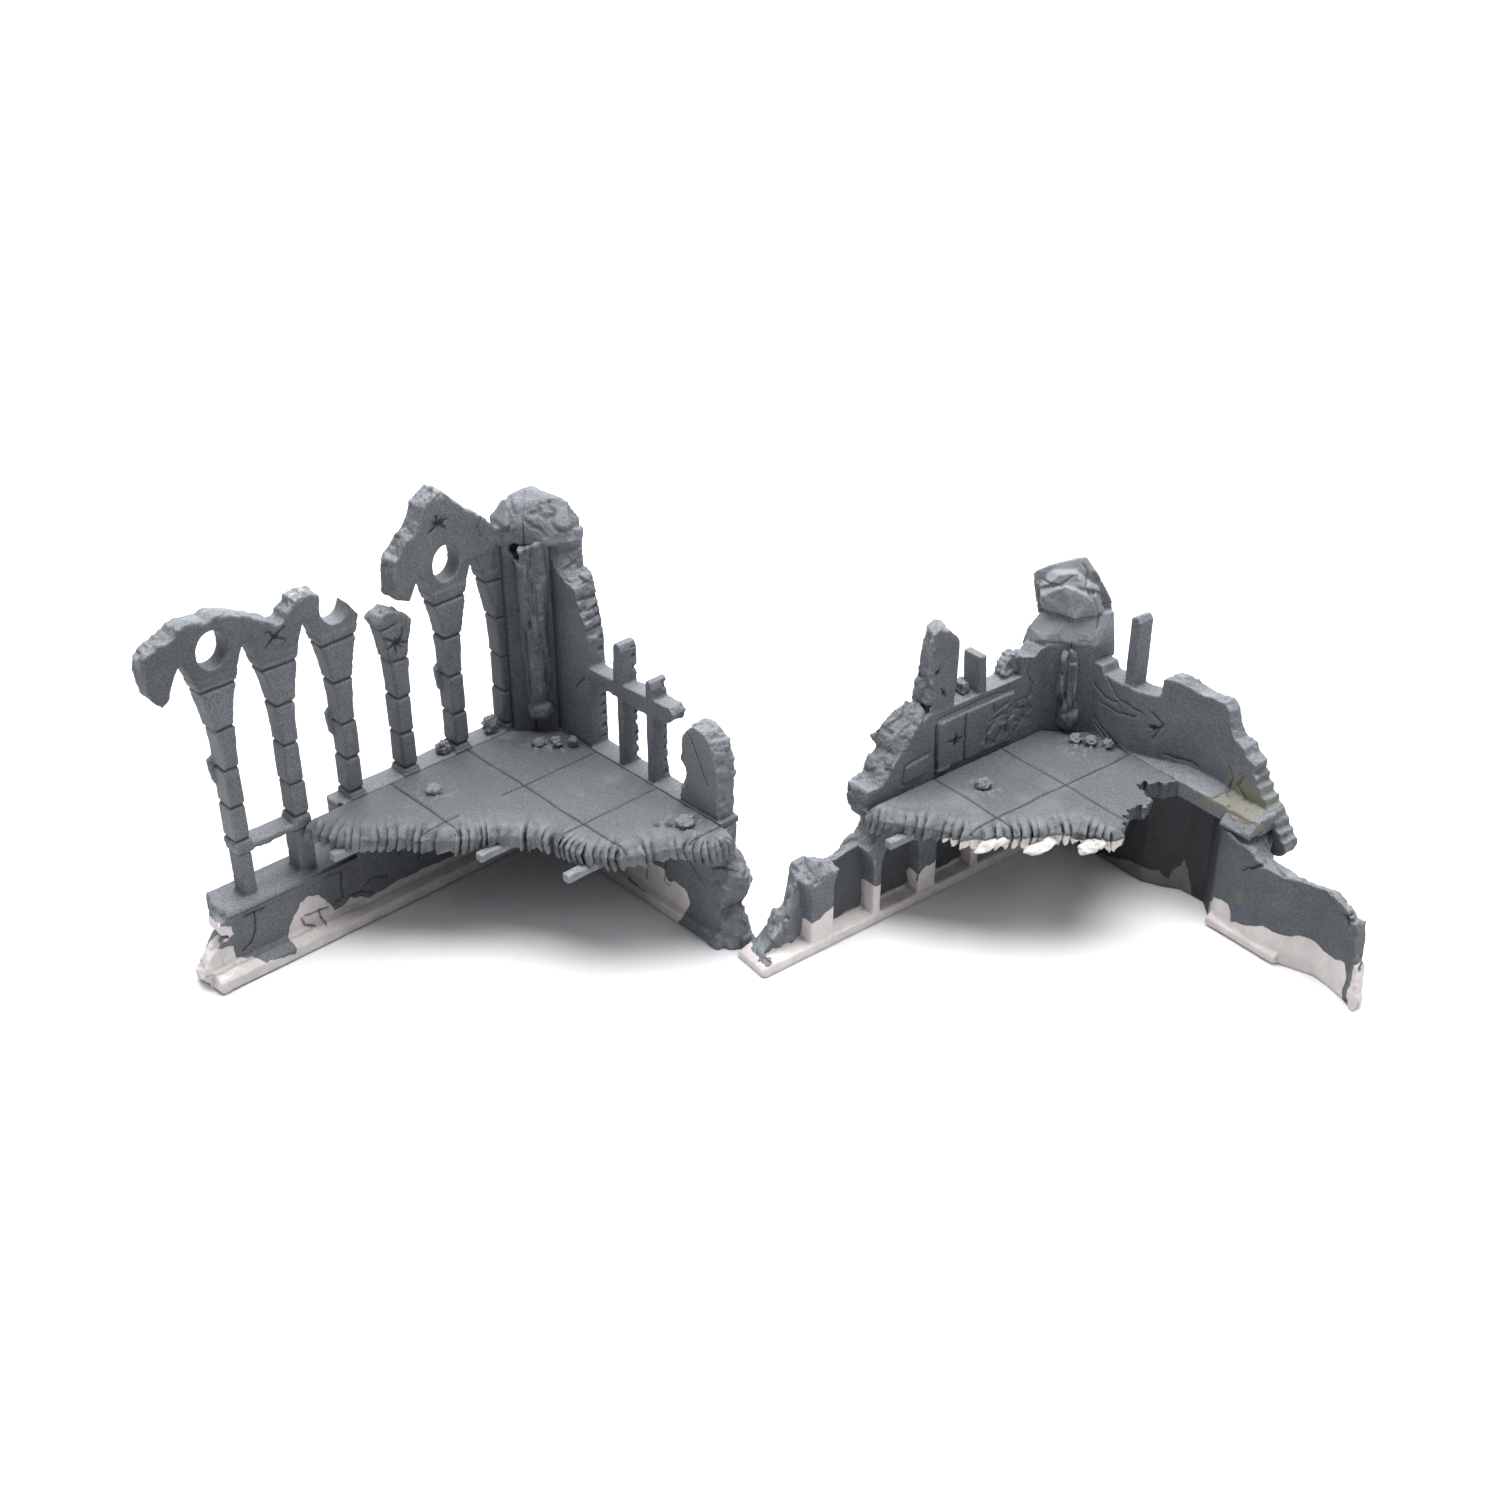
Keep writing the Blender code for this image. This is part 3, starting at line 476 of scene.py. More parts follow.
def cast_resin(name, dark, light, roughness):
    """Bare cast resin: a faint mottle, small stains and pinholes."""
    n = Nodes(name)
    colour = n.mix(n.remap(n.noise(6, 4.0), 0.35, 0.68), dark, light)
    pits = n.remap(n.noise(1.6, 1.0), 0.72, 0.76, 0.0, 0.8)
    colour = n.mix(pits, colour, tuple(0.12 * c for c in dark))
    # dark: pinholes, and painted shade in the hollows of a rod.
    colour = n.mix(n.math("MULTIPLY", n.painted("dark"), 0.9), colour, (0.01, 0.01, 0.01))
    n.shade("Base Color", colour)
    gloss = n.remap(n.noise(2.5), 0.3, 0.7, roughness - 0.1, roughness + 0.1)
    n.shade("Roughness", gloss)
    bump = n.add("Bump", {"Height": n.noise(1.4, 4.0), "Strength": 0.5, "Distance": 0.0003})
    n.shade("Normal", bump.outputs["Normal"])
    return n.material


# The second colour of each material is the painted highlight for faces that look up.
PRIMED = primed_resin("primed_resin", (0.125, 0.137, 0.15), (0.21, 0.225, 0.24))
PAVING = primed_resin("primed_paving", (0.09, 0.098, 0.108), (0.14, 0.15, 0.162))
STONE = primed_resin("primed_stone", (0.14, 0.147, 0.155), (0.2, 0.21, 0.22))
ROD = cast_resin("bare_rod", (0.15, 0.167, 0.185), (0.25, 0.27, 0.29), 0.45)
FILLER = cast_resin("white_filler", (0.42, 0.41, 0.4), (0.52, 0.51, 0.5), 0.5)


# ---------------------------------------------------------------- left ruin


def column_middle(number):
    """Where a column stands along the front wall. The first is the farthest from the corner."""
    return FIRST_COLUMN + (6 - number) * PITCH


def flare(z):
    """Half a column's width at a height: straight up to the arch's spring, then widening into its head."""
    rise = np.clip((z - SPRING) / (APEX - SPRING), 0, None)
    return COLUMN_HALF + (PITCH / 2 - COLUMN_HALF) * rise**2.5


def near_column(c, number):
    """The points of one column, its foot and its flare."""
    return (np.abs(c.x - column_middle(number)) < flare(c.z) + 0.9) & (c.y > -13.6) & (c.z > FLOOR_TOP - 3.8)


def corner_shade(c):
    """Painted shade deep in the corner, below the caps: the inner faces there are darkened."""
    recess = fade(34 - np.hypot(c.x, c.y), 0, 16) * fade(c.nx + c.ny, 0.2, 0.8) * fade(APEX - c.z, 0, 10)
    c.darken(0.27 * recess)


def corner_lines(c):
    """The upright joints on both sides of the pilaster in the corner, and a strip of painted shade beside the
    pilaster.
    """
    across = np.abs(c.across())
    edge = np.hypot(across - PILASTER / math.sqrt(2), (c.x + c.y - PILASTER) / math.sqrt(2))
    c.cut((c.z > FLOOR_TOP) & (c.z < APEX), edge, 1.5, 0.9, ink=0.85)
    # A strip of painted shade beside the pilaster, where it steps back from the wall.
    strip = (c.z > FLOOR_TOP + 1) & (c.z < APEX) & (across > 12.8) & (across < 17.5)
    c.darken(0.38 * (strip & (c.x + c.y < PILASTER + 3)))


def column_blocks(c):
    """Cuts each column into blocks that stand a little out of line, on a square base."""
    for number in range(1, 7):
        middle = column_middle(number)
        near = near_column(c, number)
        if number == 6:
            near &= (c.x > 9.6) & (c.y < -0.9)
        base = near & (c.z > FLOOR_TOP - 0.4) & (c.z < FLOOR_TOP + 3.3)
        c.push(np.where(base, 1.1, np.where(near & (c.z < 168), 0.5, 0.0)))
        drift = 0.9 * math.sin(2.7 * number)
        joints = [z + drift * math.sin(1.9 * i + number) for i, z in enumerate(BLOCK_JOINTS)]
        block = np.searchsorted(joints, c.z)
        slip = 0.38 * np.sin(4.1 * block + 2.3 * number)
        c.points[:, 0] += np.where(near & (c.z > FLOOR_TOP + 4) & (c.z < 158), slip, 0)
        c.x = c.points[:, 0]
        tilt = 0.05 * math.sin(3.3 * number) * (c.x - middle)
        for z in joints + [FLOOR_TOP + 3.9]:
            if number == 4 and z > 150:
                continue
            gap = np.abs(c.z - z - tilt + 0.25 * noise(c.points, 4.0, number))
            c.cut(near, gap, 1.3, 1.25, ink=0.95)


def left_cap(c):
    """The boulder on the corner, worn smooth, with a few folds across its front."""
    rock = fade(30 - np.hypot(c.x + 2, c.y - 4), 0, 5) * fade(c.z, 181, 186)
    c.broken(rock, 15.0, 0.9, 8, grit=0.25)
    across = c.across()
    front = (rock > 0.5) & (c.x + c.y > -2)
    for line in (
        [(1.5, 195.5), (5, 193), (8.5, 192.5), (11.5, 188)], [(4, 199), (8, 200), (12, 197), (15, 198)],
        [(12, 204), (16, 199), (15, 194), (20, 190)], [(-9, 190), (-6, 194), (-8, 200)]):
        c.crack(front, across, c.z, line, 1.5, 0.9, 0.9, ink=0.35)


def arcade(c):
    """The upper front wall: six columns under pointed arches, two of them with round holes in their heads."""
    column_blocks(c)
    heads = (c.z > 150) & (np.abs(c.ny) < 0.75) & (c.x > 22)
    for number in (1, 3, 5):
        heads &= np.hypot(c.x - column_middle(number), c.z - 182.2) > 11.5
    ends = heads & ((c.x > 212) | ((c.x > 80) & (c.x < 88) & (c.z > 165))) & (c.nz <= 0.35)
    c.broken(fade(np.where(heads, c.nz, -1), -0.05, 0.35) + 0.8 * ends, 9.0, 1.25, 3)
    for s, z, spread in ((137, 196, 8), (52, 222, 6), (96, 184, 5)):
        spot = fade(spread - np.hypot(c.x - s, c.z - z), 0, 3) * fade(noise(c.points, 1.1, 31), -0.1, 0.5)
        c.lighten(0.95 * spot)
    left_cap(c)
    # Painted highlight on the side of the outermost column, and painted shade on the same side of the fourth.
    outer = near_column(c, 1) & (c.z < 168) & (c.nx > 0.5)
    c.lighten(0.2 * outer)
    inner = near_column(c, 4) & (c.nx > 0.5)
    c.darken(0.22 * inner)
    face = (c.ny > 0.4) & (c.y > -4)
    c.darken(0.3 * face * (c.z > 165) * fade(c.x, 110, 160))
    for middle, size, rays, seed in (
        ((154.0, 177.0), 11, 8, 4), ((86.6, 149.0), 15, 9, 5), ((54.5, 206.0), 11, 9, 6)):
        c.star(face, c.x, c.z, middle, size, rays, seed)
    c.crack(near_column(c, 4) & (c.z > 150), c.x, c.z, [(98, 158.5), (84, 160)], 1.0, 0.8, 0.5)
    corner_lines(c)
    corner_shade(c)
    wall = face & (c.z > 165)
    c.crack(wall, c.x, c.z, [(27, 201), (31, 196), (29, 190)], ink=0.6)
    c.crack(wall, c.x, c.z, [(108.5, 186), (112, 181), (111, 177)], ink=0.5)
    hole = np.hypot(c.across() + 5.2, c.z - 179.5)
    corner = (c.x + c.y > 17) & (hole < 5)
    c.push(np.where(corner, -3.2 * fade(4.2 - hole, 0, 2.0), 0))
    c.darken(np.where(corner, fade(3.8 - hole, 0, 1.2), 0))
    sill = (c.z > 60) & (c.z < 74) & (c.y < 0.4)
    ragged_end = sill & ((np.abs(c.x - 131) < 3) | ((c.x > 156) & (c.x < 184) & (c.nz < -0.4)))
    c.broken(ragged_end * 1.0, 5.0, 0.7, 14)


def left_front(c):
    """The lower front wall: a broken end, joints of its blocks, and the bare plinth, with painted shade under
    the floor.
    """
    end = fade(c.x, 200, 206) * (c.z < 41)
    c.broken(end * (0.4 + 0.6 * fade(-c.ny, -0.6, 0.2)), 9.0, 1.6, 21)
    face = (c.ny > 0.3) & (c.y > 2)
    for line in (
        [(197, 35), (191, 34.5), (185, 34)], [(191, 34), (191, 28), (192, 22), (195, 16.5), (200, 14)],
        [(149, 35), (142, 35), (133, 35.5)], [(139, 35), (139, 26), (139, 18), (144, 17)],
        [(163, 17.5), (157, 17), (149, 16)], [(154, 17), (154, 12), (153, 9.5)],
        [(165, 17), (164, 12), (159, 10)], [(127, 20), (121, 23), (112, 19)],
        [(136, 17), (127, 16), (120, 12)], [(104, 30), (96, 34), (88, 33), (84, 27), (92, 22)],
        [(88, 33), (78, 42), (60, 44)], [(70, 12), (66, 20), (58, 22)], [(52, 12), (50, 24), (30, 25)]):
        c.crack(face, c.x, c.z, line, 1.25, 1.0, 0.45)
    # Painted shade under the floor, deepest towards the corner, and a little over the whole face.
    under = face * (0.26 + 0.24 * (c.z > 10)) + (c.nz > 0.5) * (c.z > 30) * 0.5
    c.darken(np.maximum(under * fade(190 - c.x, 0, 60), 0.15 * face))
    c.crack(face, c.x, c.z, [(230, 9.6), (-20, 9.6)], 0.7, 0.4, 0.2, ink=0.45)
    # A dark line along the foot, where it meets the ground.
    c.crack((c.ny > -0.2) & (c.y > 0), c.x, c.z, [(230, 0.4), (-20, 0.4)], 1.2, 0.1, 0.2, ink=0.75)
    c.bare_patch(c.y > -11, c.x, [
        (228, -4), (228, 21), (213, 22), (205.5, 20), (204, 12.5), (192, 7), (176, 4), (173, 15), (165, 27),
        (160, 29), (153, 26), (149, 19), (146, 12), (140, 13), (136, 15), (124, 12), (105, 14), (79, 13),
        (40, 12), (-20, 11), (-20, -4)])
    c.bare_patch(c.y > -11, c.x, [(228, 25), (228, 36), (211, 36), (205, 32), (203.5, 27), (208, 24.5)])
    dirt = (c.x > 208) & (c.z < 9)
    c.leave_stain(dirt, 1.8 * rough(c.points, 5.0, 3, 5))
    c.crack(face, c.x, c.z, [(230, 37.9), (-20, 37.9)], 0.7, 0.45, 0.1, ink=0.5)
    for number, half in ((1, 3.7), (2, 5.0)):
        post = (np.abs(c.x - column_middle(number)) < half + 0.8) & (c.y < -8) & (c.y > -13.2)
        c.crack(post & (c.z > 40.3), c.y, c.z, [(-13, 50), (-9, 48)], ink=0.7)
    brick_courses(c, (c.ny < -0.4) & (c.y < -17), c.x, c.z, 5)


def brick_courses(c, where, a, b, seed):
    """Worn courses of blocks, half of their joints filled up."""
    course = b / BRICK_HEIGHT
    bed = np.abs((b + 0.4 * noise(c.points, 9.0, seed)) / BRICK_HEIGHT - np.round(course)) * BRICK_HEIGHT
    shift = np.where(np.floor(course) % 2 == 0, 0.0, 0.5) * BRICK_LENGTH
    brick = (a + shift + 0.5 * noise(c.points, 8.0, seed + 1)) / BRICK_LENGTH
    upright = np.abs(brick - np.round(brick)) * BRICK_LENGTH
    kept = fade(rough(c.points, 30.0, 2, seed + 2), -0.55, 0.25)
    c.cut(where & (kept > 0.05), np.minimum(bed, upright) + 0.9 * (1 - kept), 1.1, 0.7, ink=0.55)


def left_side(c):
    """The lower side wall: broken at its end, darker with painted shade towards the corner, and bare below.
    """
    end = fade(c.y, 147, 152)
    c.broken(end, 11.0, 1.8, 31)
    face = (c.nx > 0.3) & (c.x > 2)
    for line in ([(97, 19), (97, 12)], [(113, 33), (112, 19), (116, 17.5)], [(130, 44), (136, 39), (141, 34)],
                 [(150, 46), (156, 50), (163, 51)], [(84, 8), (100, 6.5)], [(60, 30), (60, 20), (72, 19)],
                 [(72, 45), (72, 33), (88, 33), (88, 45)]):
        c.crack(face, c.y, c.z, line, 0.9, 0.8, 0.3)
    for y, z, size in ((116.5, 21, 2.1), (98, 6.5, 1.0)):
        gap = np.hypot(c.y - y, c.z - z)
        c.cut(face, gap, size, 0.9)
    c.bare_patch(c.x > -1, c.y, [
        (-20, -4), (-20, 12), (40, 15), (60, 22), (83, 24), (99, 26), (112, 26), (115, 20), (120, 24),
        (129, 22), (132, 17), (130, 8), (125, -4)])
    # Painted shade on the face under the floor, deepening towards the corner.
    c.darken(0.48 * face * fade(135 - c.y, 0, 50))
    # The tops of the broken end: worn, and a painted highlight where they face up.
    worn_and_lit_top = (c.y > 152) & (c.nz > 0.2) & (c.z > 30)
    c.lighten(worn_and_lit_top * 0.45 * fade(noise(c.points, 8.0, 5), -0.2, 0.6))
    brick_courses(c, (c.nx < -0.4) & (c.x < -11), c.y, c.z, 6)


def left_upper(c):
    """The upper side wall: the notched pier, two mullions with their rail, and the standing fragment."""
    fragment = (c.y > 112) & (c.z > FLOOR_TOP + 0.5)
    c.lighten(0.16 * fragment)
    sides = np.abs(c.nx) < 0.75
    pier_top = (c.y < 47) & (c.y > 25) & (c.z > 134) & (c.z < 186) & (c.nz + c.ny > 0.2)
    c.broken(((fragment & sides) | (pier_top & sides)) * 1.0, 7.0, 1.3, 41)
    left_cap(c)
    for z in (141.0, 147.0, 151.5, 157.0):
        notch = np.abs(c.z - z + 0.3 * noise(c.points, 4.0, 6))
        c.cut((c.ny > 0.35) & (c.y > 34) & (c.y < 47), notch, 1.5, 1.3, ink=0.35)
    corner_lines(c)
    corner_shade(c)
    rail = (c.z > 108) & (c.z < 123) & (c.y > 45) & (np.abs(c.y - 70) > 5) & (np.abs(c.y - 94) > 5)
    c.broken(rail & (np.abs(c.nx) < 0.8) & (c.nz < 0.9), 5, 0.7, 44)
    back = (c.nx < -0.2) & (c.x < -10) & (c.z > 71) & (c.z < 128) & (c.y > 46) & (c.y < 112)
    c.push(np.where(back, -1.9 * fade(np.abs(noise(c.points, 6.0, 8)), 0.1, 0.6), 0))
    edge = (c.ny > 0.3) & (c.x < -8.5) & (c.y > 40) & (c.y < 100) & (c.z > 71) & (np.abs(c.z - 115) > 9)
    ragged = fade(np.sin(0.95 * c.z + 2.5 * noise(c.points, 11.0, 3)), 0.0, 0.7)
    c.push(np.where(edge & (c.z < 140), -1.5 * ragged, 0))
    face = (c.nx > 0.35) & (c.x > -3)
    c.crack(face & (c.y > 20), c.y, c.z, [(42, 112), (38, 108), (35, 103)], 0.8, 0.6)
    c.crack(face, c.y, c.z, [(122, 116), (129, 107), (134, 97), (139, 88)], 0.8, 0.7)
    c.crack(face, c.y, c.z, [(FIRST_COLUMN + 6, 70.6), (150, 70.6)], 0.7, 0.4, 0.1, ink=0.7)


def corner_figure(c, foot, top, middle, half, hollow=(0.0, 0.0)):
    """A worn draped shaft on a round corbel, with long uneven folds and a hollow beside its top. Its sunken
    folds get painted shade and its raised folds a painted highlight.
    """
    c.smooth(5, 0.8)
    across = (c.across() - middle) / half
    up = (c.z - foot) / (top - foot)
    body = fade(up, 0.12, 0.19)
    wander = 0.3 * np.sin(4.4 * up + 1.0) + 0.26 * noise(c.points, 12.0, 5)
    folds = 1.25 * np.sin(5.6 * (across + wander)) + 0.5 * np.sin(13 * (across - 0.6 * wander) + 2.0 * up)
    c.push(body * (0.7 + 0.62 * folds - 0.5 * fade(np.abs(noise(c.points, 4.5, 9)), 0.35, 0.8)))
    c.points[:, 2] += fade(up, 0.86, 1.0) * (0.4 + 1.8 * np.sin(2.1 * across + 0.4) - 1.6 * across**2)
    pit = np.hypot(c.across() - hollow[0], (c.z - hollow[1]) * 0.8)
    c.push(-3.0 * fade(3.2 - pit, 0, 1.5))
    c.darken(fade(3.0 - pit, 0, 0.8))
    c.push(0.22 * rough(c.points, 3.0, 2, 4))
    # Painted shade in the sunken folds and a little over the whole figure; painted highlight on the raised
    # folds.
    sunken = np.clip(-folds - 0.6, 0, 1) * body
    c.darken(np.maximum(0.6 * fade(sunken, 0.1, 1.0), 0.14))
    c.lighten(0.35 * fade(folds, 0.9, 1.4) * body * fade(noise(c.points, 6.0, 3), -0.2, 0.6))
    c.renew()


# ---------------------------------------------------------------- slabs


def broken_outline(node, side):
    """The open side of a floor slab: the part of its top outline that is away from both walls."""
    mesh = frame["nodes"][node].data
    keys = [tuple(np.round(p, 2)) for p in in_ruin(mesh, side)]
    uses = {}
    for face in mesh.polygons:
        ring = [keys[v] for v in face.vertices]
        if all(abs(p[2] - FLOOR_TOP) < 0.05 for p in ring):
            for a, b in zip(ring, ring[1:] + ring[:1]):
                uses.setdefault(frozenset((a, b)), []).append((a, b))
    following = {pair[0][0]: pair[0][1] for pair in uses.values() if len(pair) == 1}
    start = max(following, key=lambda p: p[0] - p[1])
    line = [start]
    while following[line[-1]] != start:
        line.append(following[line[-1]])
    open_side = [p[:2] for p in line if min(p[0], p[1]) > 2.6 and p[0] + p[1] > 60]
    ends = [min(line, key=lambda p: abs(p[1]) - 0.2 * p[0]),
            min(line, key=lambda p: abs(p[0]) - 0.2 * p[1])]
    if open_side[0][0] < open_side[-1][0]:
        open_side.reverse()
    return [ends[0][:2]] + open_side + [ends[1][:2]]


def torn_edge(c, gap, reached, torn, seed):
    """Rounded flutes along the open side, each with its own width and depth. Their valleys get the darkest
    painted shade, and the ridges near the edge a painted highlight.
    """
    run = np.stack([reached, 0 * reached, 0 * reached], axis=1)
    phase = (reached + 4.0 * noise(run, 17.0, seed) + 1.3 * noise(run, 5.0, seed + 1)) / 4.8
    wave = np.abs(np.sin(math.pi * phase))
    size = 0.3 + 0.7 * hashed(np.stack([np.round(phase), 0 * phase, 0 * phase], axis=1), seed)
    valley = (1 - wave) ** 1.7 * size
    up = np.clip((c.z - FLOOR_TOP + SLAB) / SLAB, 0, 1)
    lip = np.where(torn, fade(7 - gap, 0, 6), 0)
    outward = np.stack([c.x - 38, c.y - 38], axis=1)
    outward /= np.linalg.norm(outward, axis=1)[:, None]
    shift = lip * (1.6 * (1 - up) - 4.0 * valley + 3.0 * wave * (size - 0.6))
    rounding = 3.2 * np.clip(1 - gap / 6.5, 0, 1) ** 1.6
    notch = 3.6 * valley * np.clip(1 - gap / (3 + 11 * size), 0, 1)
    c.points[:, :2] += outward * shift[:, None]
    c.points[:, 2] -= np.where(torn, up * (rounding + notch), 0)
    drop = 2.6 * valley - 1.8 * wave * size - 0.9 + 1.3 * noise(run, 17.0, seed + 2)
    c.points[:, 2] += lip * (1 - up) * drop
    fringe = np.where(torn, np.clip(1 - gap / (4 + 6 * size), 0, 1), 0)
    # Painted shade in the valleys of the flutes.
    c.darken(0.8 * fade(valley, 0.2, 0.6) * fringe)
    # Painted highlight on the ridges, strongest near the edge.
    light = fade(noise(c.points, 4.0, seed), -0.8, 0.6) * np.where(torn, fade(24 - gap, 0, 26), 0)
    c.lighten(0.36 * light * (1 - fade(valley, 0.1, 0.5)))
    c.renew()
    c.broken(((gap < 4.5) & torn) * 0.8, 3.2, 0.5, seed + 5)


def brick_ends(c, gap, reached, where, seed):
    """A broken edge of small squared blocks."""
    run = np.stack([reached, 0 * reached, 0 * reached], axis=1)
    teeth = where & (gap < 3.5) & (np.abs(c.nz) < 0.7)
    block = np.floor((reached + 0.8 * noise(run, 5.0, seed)) / 3.4)
    c.push(np.where(teeth, 1.3 * np.sin(2.4 * block), 0.0))
    c.darken(0.15 * teeth)


def slab(c, tiles, stones, seed, bricks_from=math.inf):
    """A paved floor. Its open side is torn up to bricks_from mm along it, and broken blocks beyond. Painted
    shade darkens it away from its open side.
    """
    gap, reached = along(c.x, c.y, broken_outline(c.node, c.side))
    torn_edge(c, gap, reached, reached < bricks_from, seed)
    brick_ends(c, gap, reached, reached >= bricks_from, seed)
    floor = c.nz > 0.6
    for line in tiles:
        off, _ = along(c.x + 0.5 * noise(c.points, 16.0, 3), c.y + 0.5 * noise(c.points, 16.0, 4), line)
        c.cut(floor, off, 1.05, 0.85, ink=0.92)
    for x, y, spread, height in stones:
        around = np.exp(-((c.x - x) ** 2 + (c.y - y) ** 2) / (2 * spread**2))
        crumbs = np.clip(rough(c.points, 2.6, 2, seed + 8), 0, None)
        c.points[:, 2] += np.where(floor, height * around * (0.3 + 1.5 * crumbs), 0)
        c.lighten(np.where(floor, 0.5 * around * fade(crumbs, 0.1, 0.7), 0))
    scuffed = fade(rough(c.points, 26.0, 3, seed + 3), 0.15, 0.9) * floor
    c.lighten(0.24 * scuffed)
    # Painted shade on the floor away from its open side, towards the walls.
    c.darken(0.18 * floor * fade(gap, 8, 50))


def left_slab(c):
    """Tile grooves, loose crumbs, a crack across the tiles, and two holes by the side wall's end. Its far end
    along the front wall is darkened with painted shade.
    """
    tiles = [[(TILE, -2), (TILE, 160)], [(2 * TILE, -2), (2 * TILE, 90)], [(-2, TILE), (64, TILE)],
             [(92, TILE), (130, TILE)], [(-2, 2 * TILE), (90, 2 * TILE)], [(-2, 3 * TILE), (22, 3 * TILE)]]
    stones = [(88, 23, 6, 1.2), (19, 25, 5, 1.3), (13, 31.5, 5, 1.3), (5.8, 37.5, 4, 1.2), (13, 137, 8, 1.5)]
    slab(c, tiles, stones, 61)
    floor = c.nz > 0.6
    # Painted shade towards the far end along the front wall.
    c.darken(0.16 * floor * fade(c.x, 80, 130))
    c.crack(floor, c.x, c.y, [(44, 54), (36, 52), (26, 59), (19, 75), (12, 100)], 0.6, 0.35, 1.0, ink=0.35)
    for x, y, size in ((19, 131, 3.4), (24, 127, 2.2)):
        gap = np.hypot(c.x - x, 0.6 * (c.y - y)) + 0.5 * noise(c.points, 2.0, 6)
        c.cut(floor, gap, size, 1.6, ink=0.8)


def right_slab(c):
    """Bare resin along the underside of its torn edge, and a stepped notch of broken blocks."""
    tiles = [[(TILE, -2), (TILE, 100)], [(2 * TILE, -2), (2 * TILE, 68)], [(-2, TILE), (123, TILE)]]
    stones = [(86, 25, 6, 1.3), (15, 24, 5, 1.3), (10, 31, 5, 1.3), (5, 38, 4, 1.2), (17, 30, 7, 0.8)]
    slab(c, tiles, stones, 67, bricks_from=148.0)
    gap, reached = along(c.x, c.y, broken_outline(c.node, c.side))
    lip = (gap < 6) & (reached > 48) & (reached < 146) & (c.nz < 0.6)
    c.leave_bare(lip, 3.0 - (c.z - FLOOR_TOP + SLAB) + 2.6 * noise(c.points, 9.0, 12))
    floor = c.nz > 0.6
    for x, y, size in ((78, 68, 1.3), (73, 74, 0.9)):
        c.cut(floor, np.hypot(c.x - x, c.y - y), size, 0.8, ink=0.9)
    c.crack(floor, c.x, c.y, [(118, 20), (104, 34), (96, 41)], 0.6, 0.3, 1.2, ink=0.25)


# ---------------------------------------------------------------- right ruin


def right_front(c):
    """The lower front wall: panels between bare posts, darkened with painted shade."""
    ends = (c.x > 131) & ((c.nz > 0.15) | (c.x > 186)) & (c.z > 7) & (c.y < 8.9)
    c.broken(ends * fade(c.nz + (c.x > 192) * 0.8, 0.1, 0.5), 8.0, 1.3, 71)
    outline = [(228, -4), (228, 6), (219, 6), (206, 7.5), (196, 6.5), (190.6, 8.4), (190.6, 19), (183, 21.5),
               (174, 25), (174, 10), (170, 9), (167, 8.4), (148.6, 8.4), (148.6, 25), (141.5, 24),
               (141.5, 8.4), (115.5, 8.4), (115.5, 18), (109, 21), (103, 21.5), (101, 26), (101, 8.4),
               (76, 8.4), (76, 19), (69, 22), (69, 8.4), (-20, 8.4), (-20, -4)]
    c.bare_patch(c.y > 1.0, c.x, outline)
    # Painted shade in the panels under the floor.
    panels = (c.y < 2.0) & (c.ny > 0.3) & (c.x < 186) & (c.z > 8)
    c.darken(np.where(panels, 0.6, 0))
    c.bare_patch((c.y <= 2.2) & (c.x > 205), c.x, [(205, -4), (205, 5), (228, 8), (228, -4)])
    # Darker along the very foot, where it meets the ground.
    low = (c.z < 1.6) & (c.ny > 0.3)
    c.darken(np.where(low, 0.25 * fade(1.6 - c.z, 0, 1.4), 0))
    brick_courses(c, (c.ny < -0.4) & (c.y < -11), c.x, c.z, 7)
    panel = (c.ny > 0.3) & (c.y < 9) & (c.x > 120)
    c.crack(panel, c.x, c.z, [(168, 47), (163, 40), (164, 30)], 0.6, 0.4, ink=0.3)


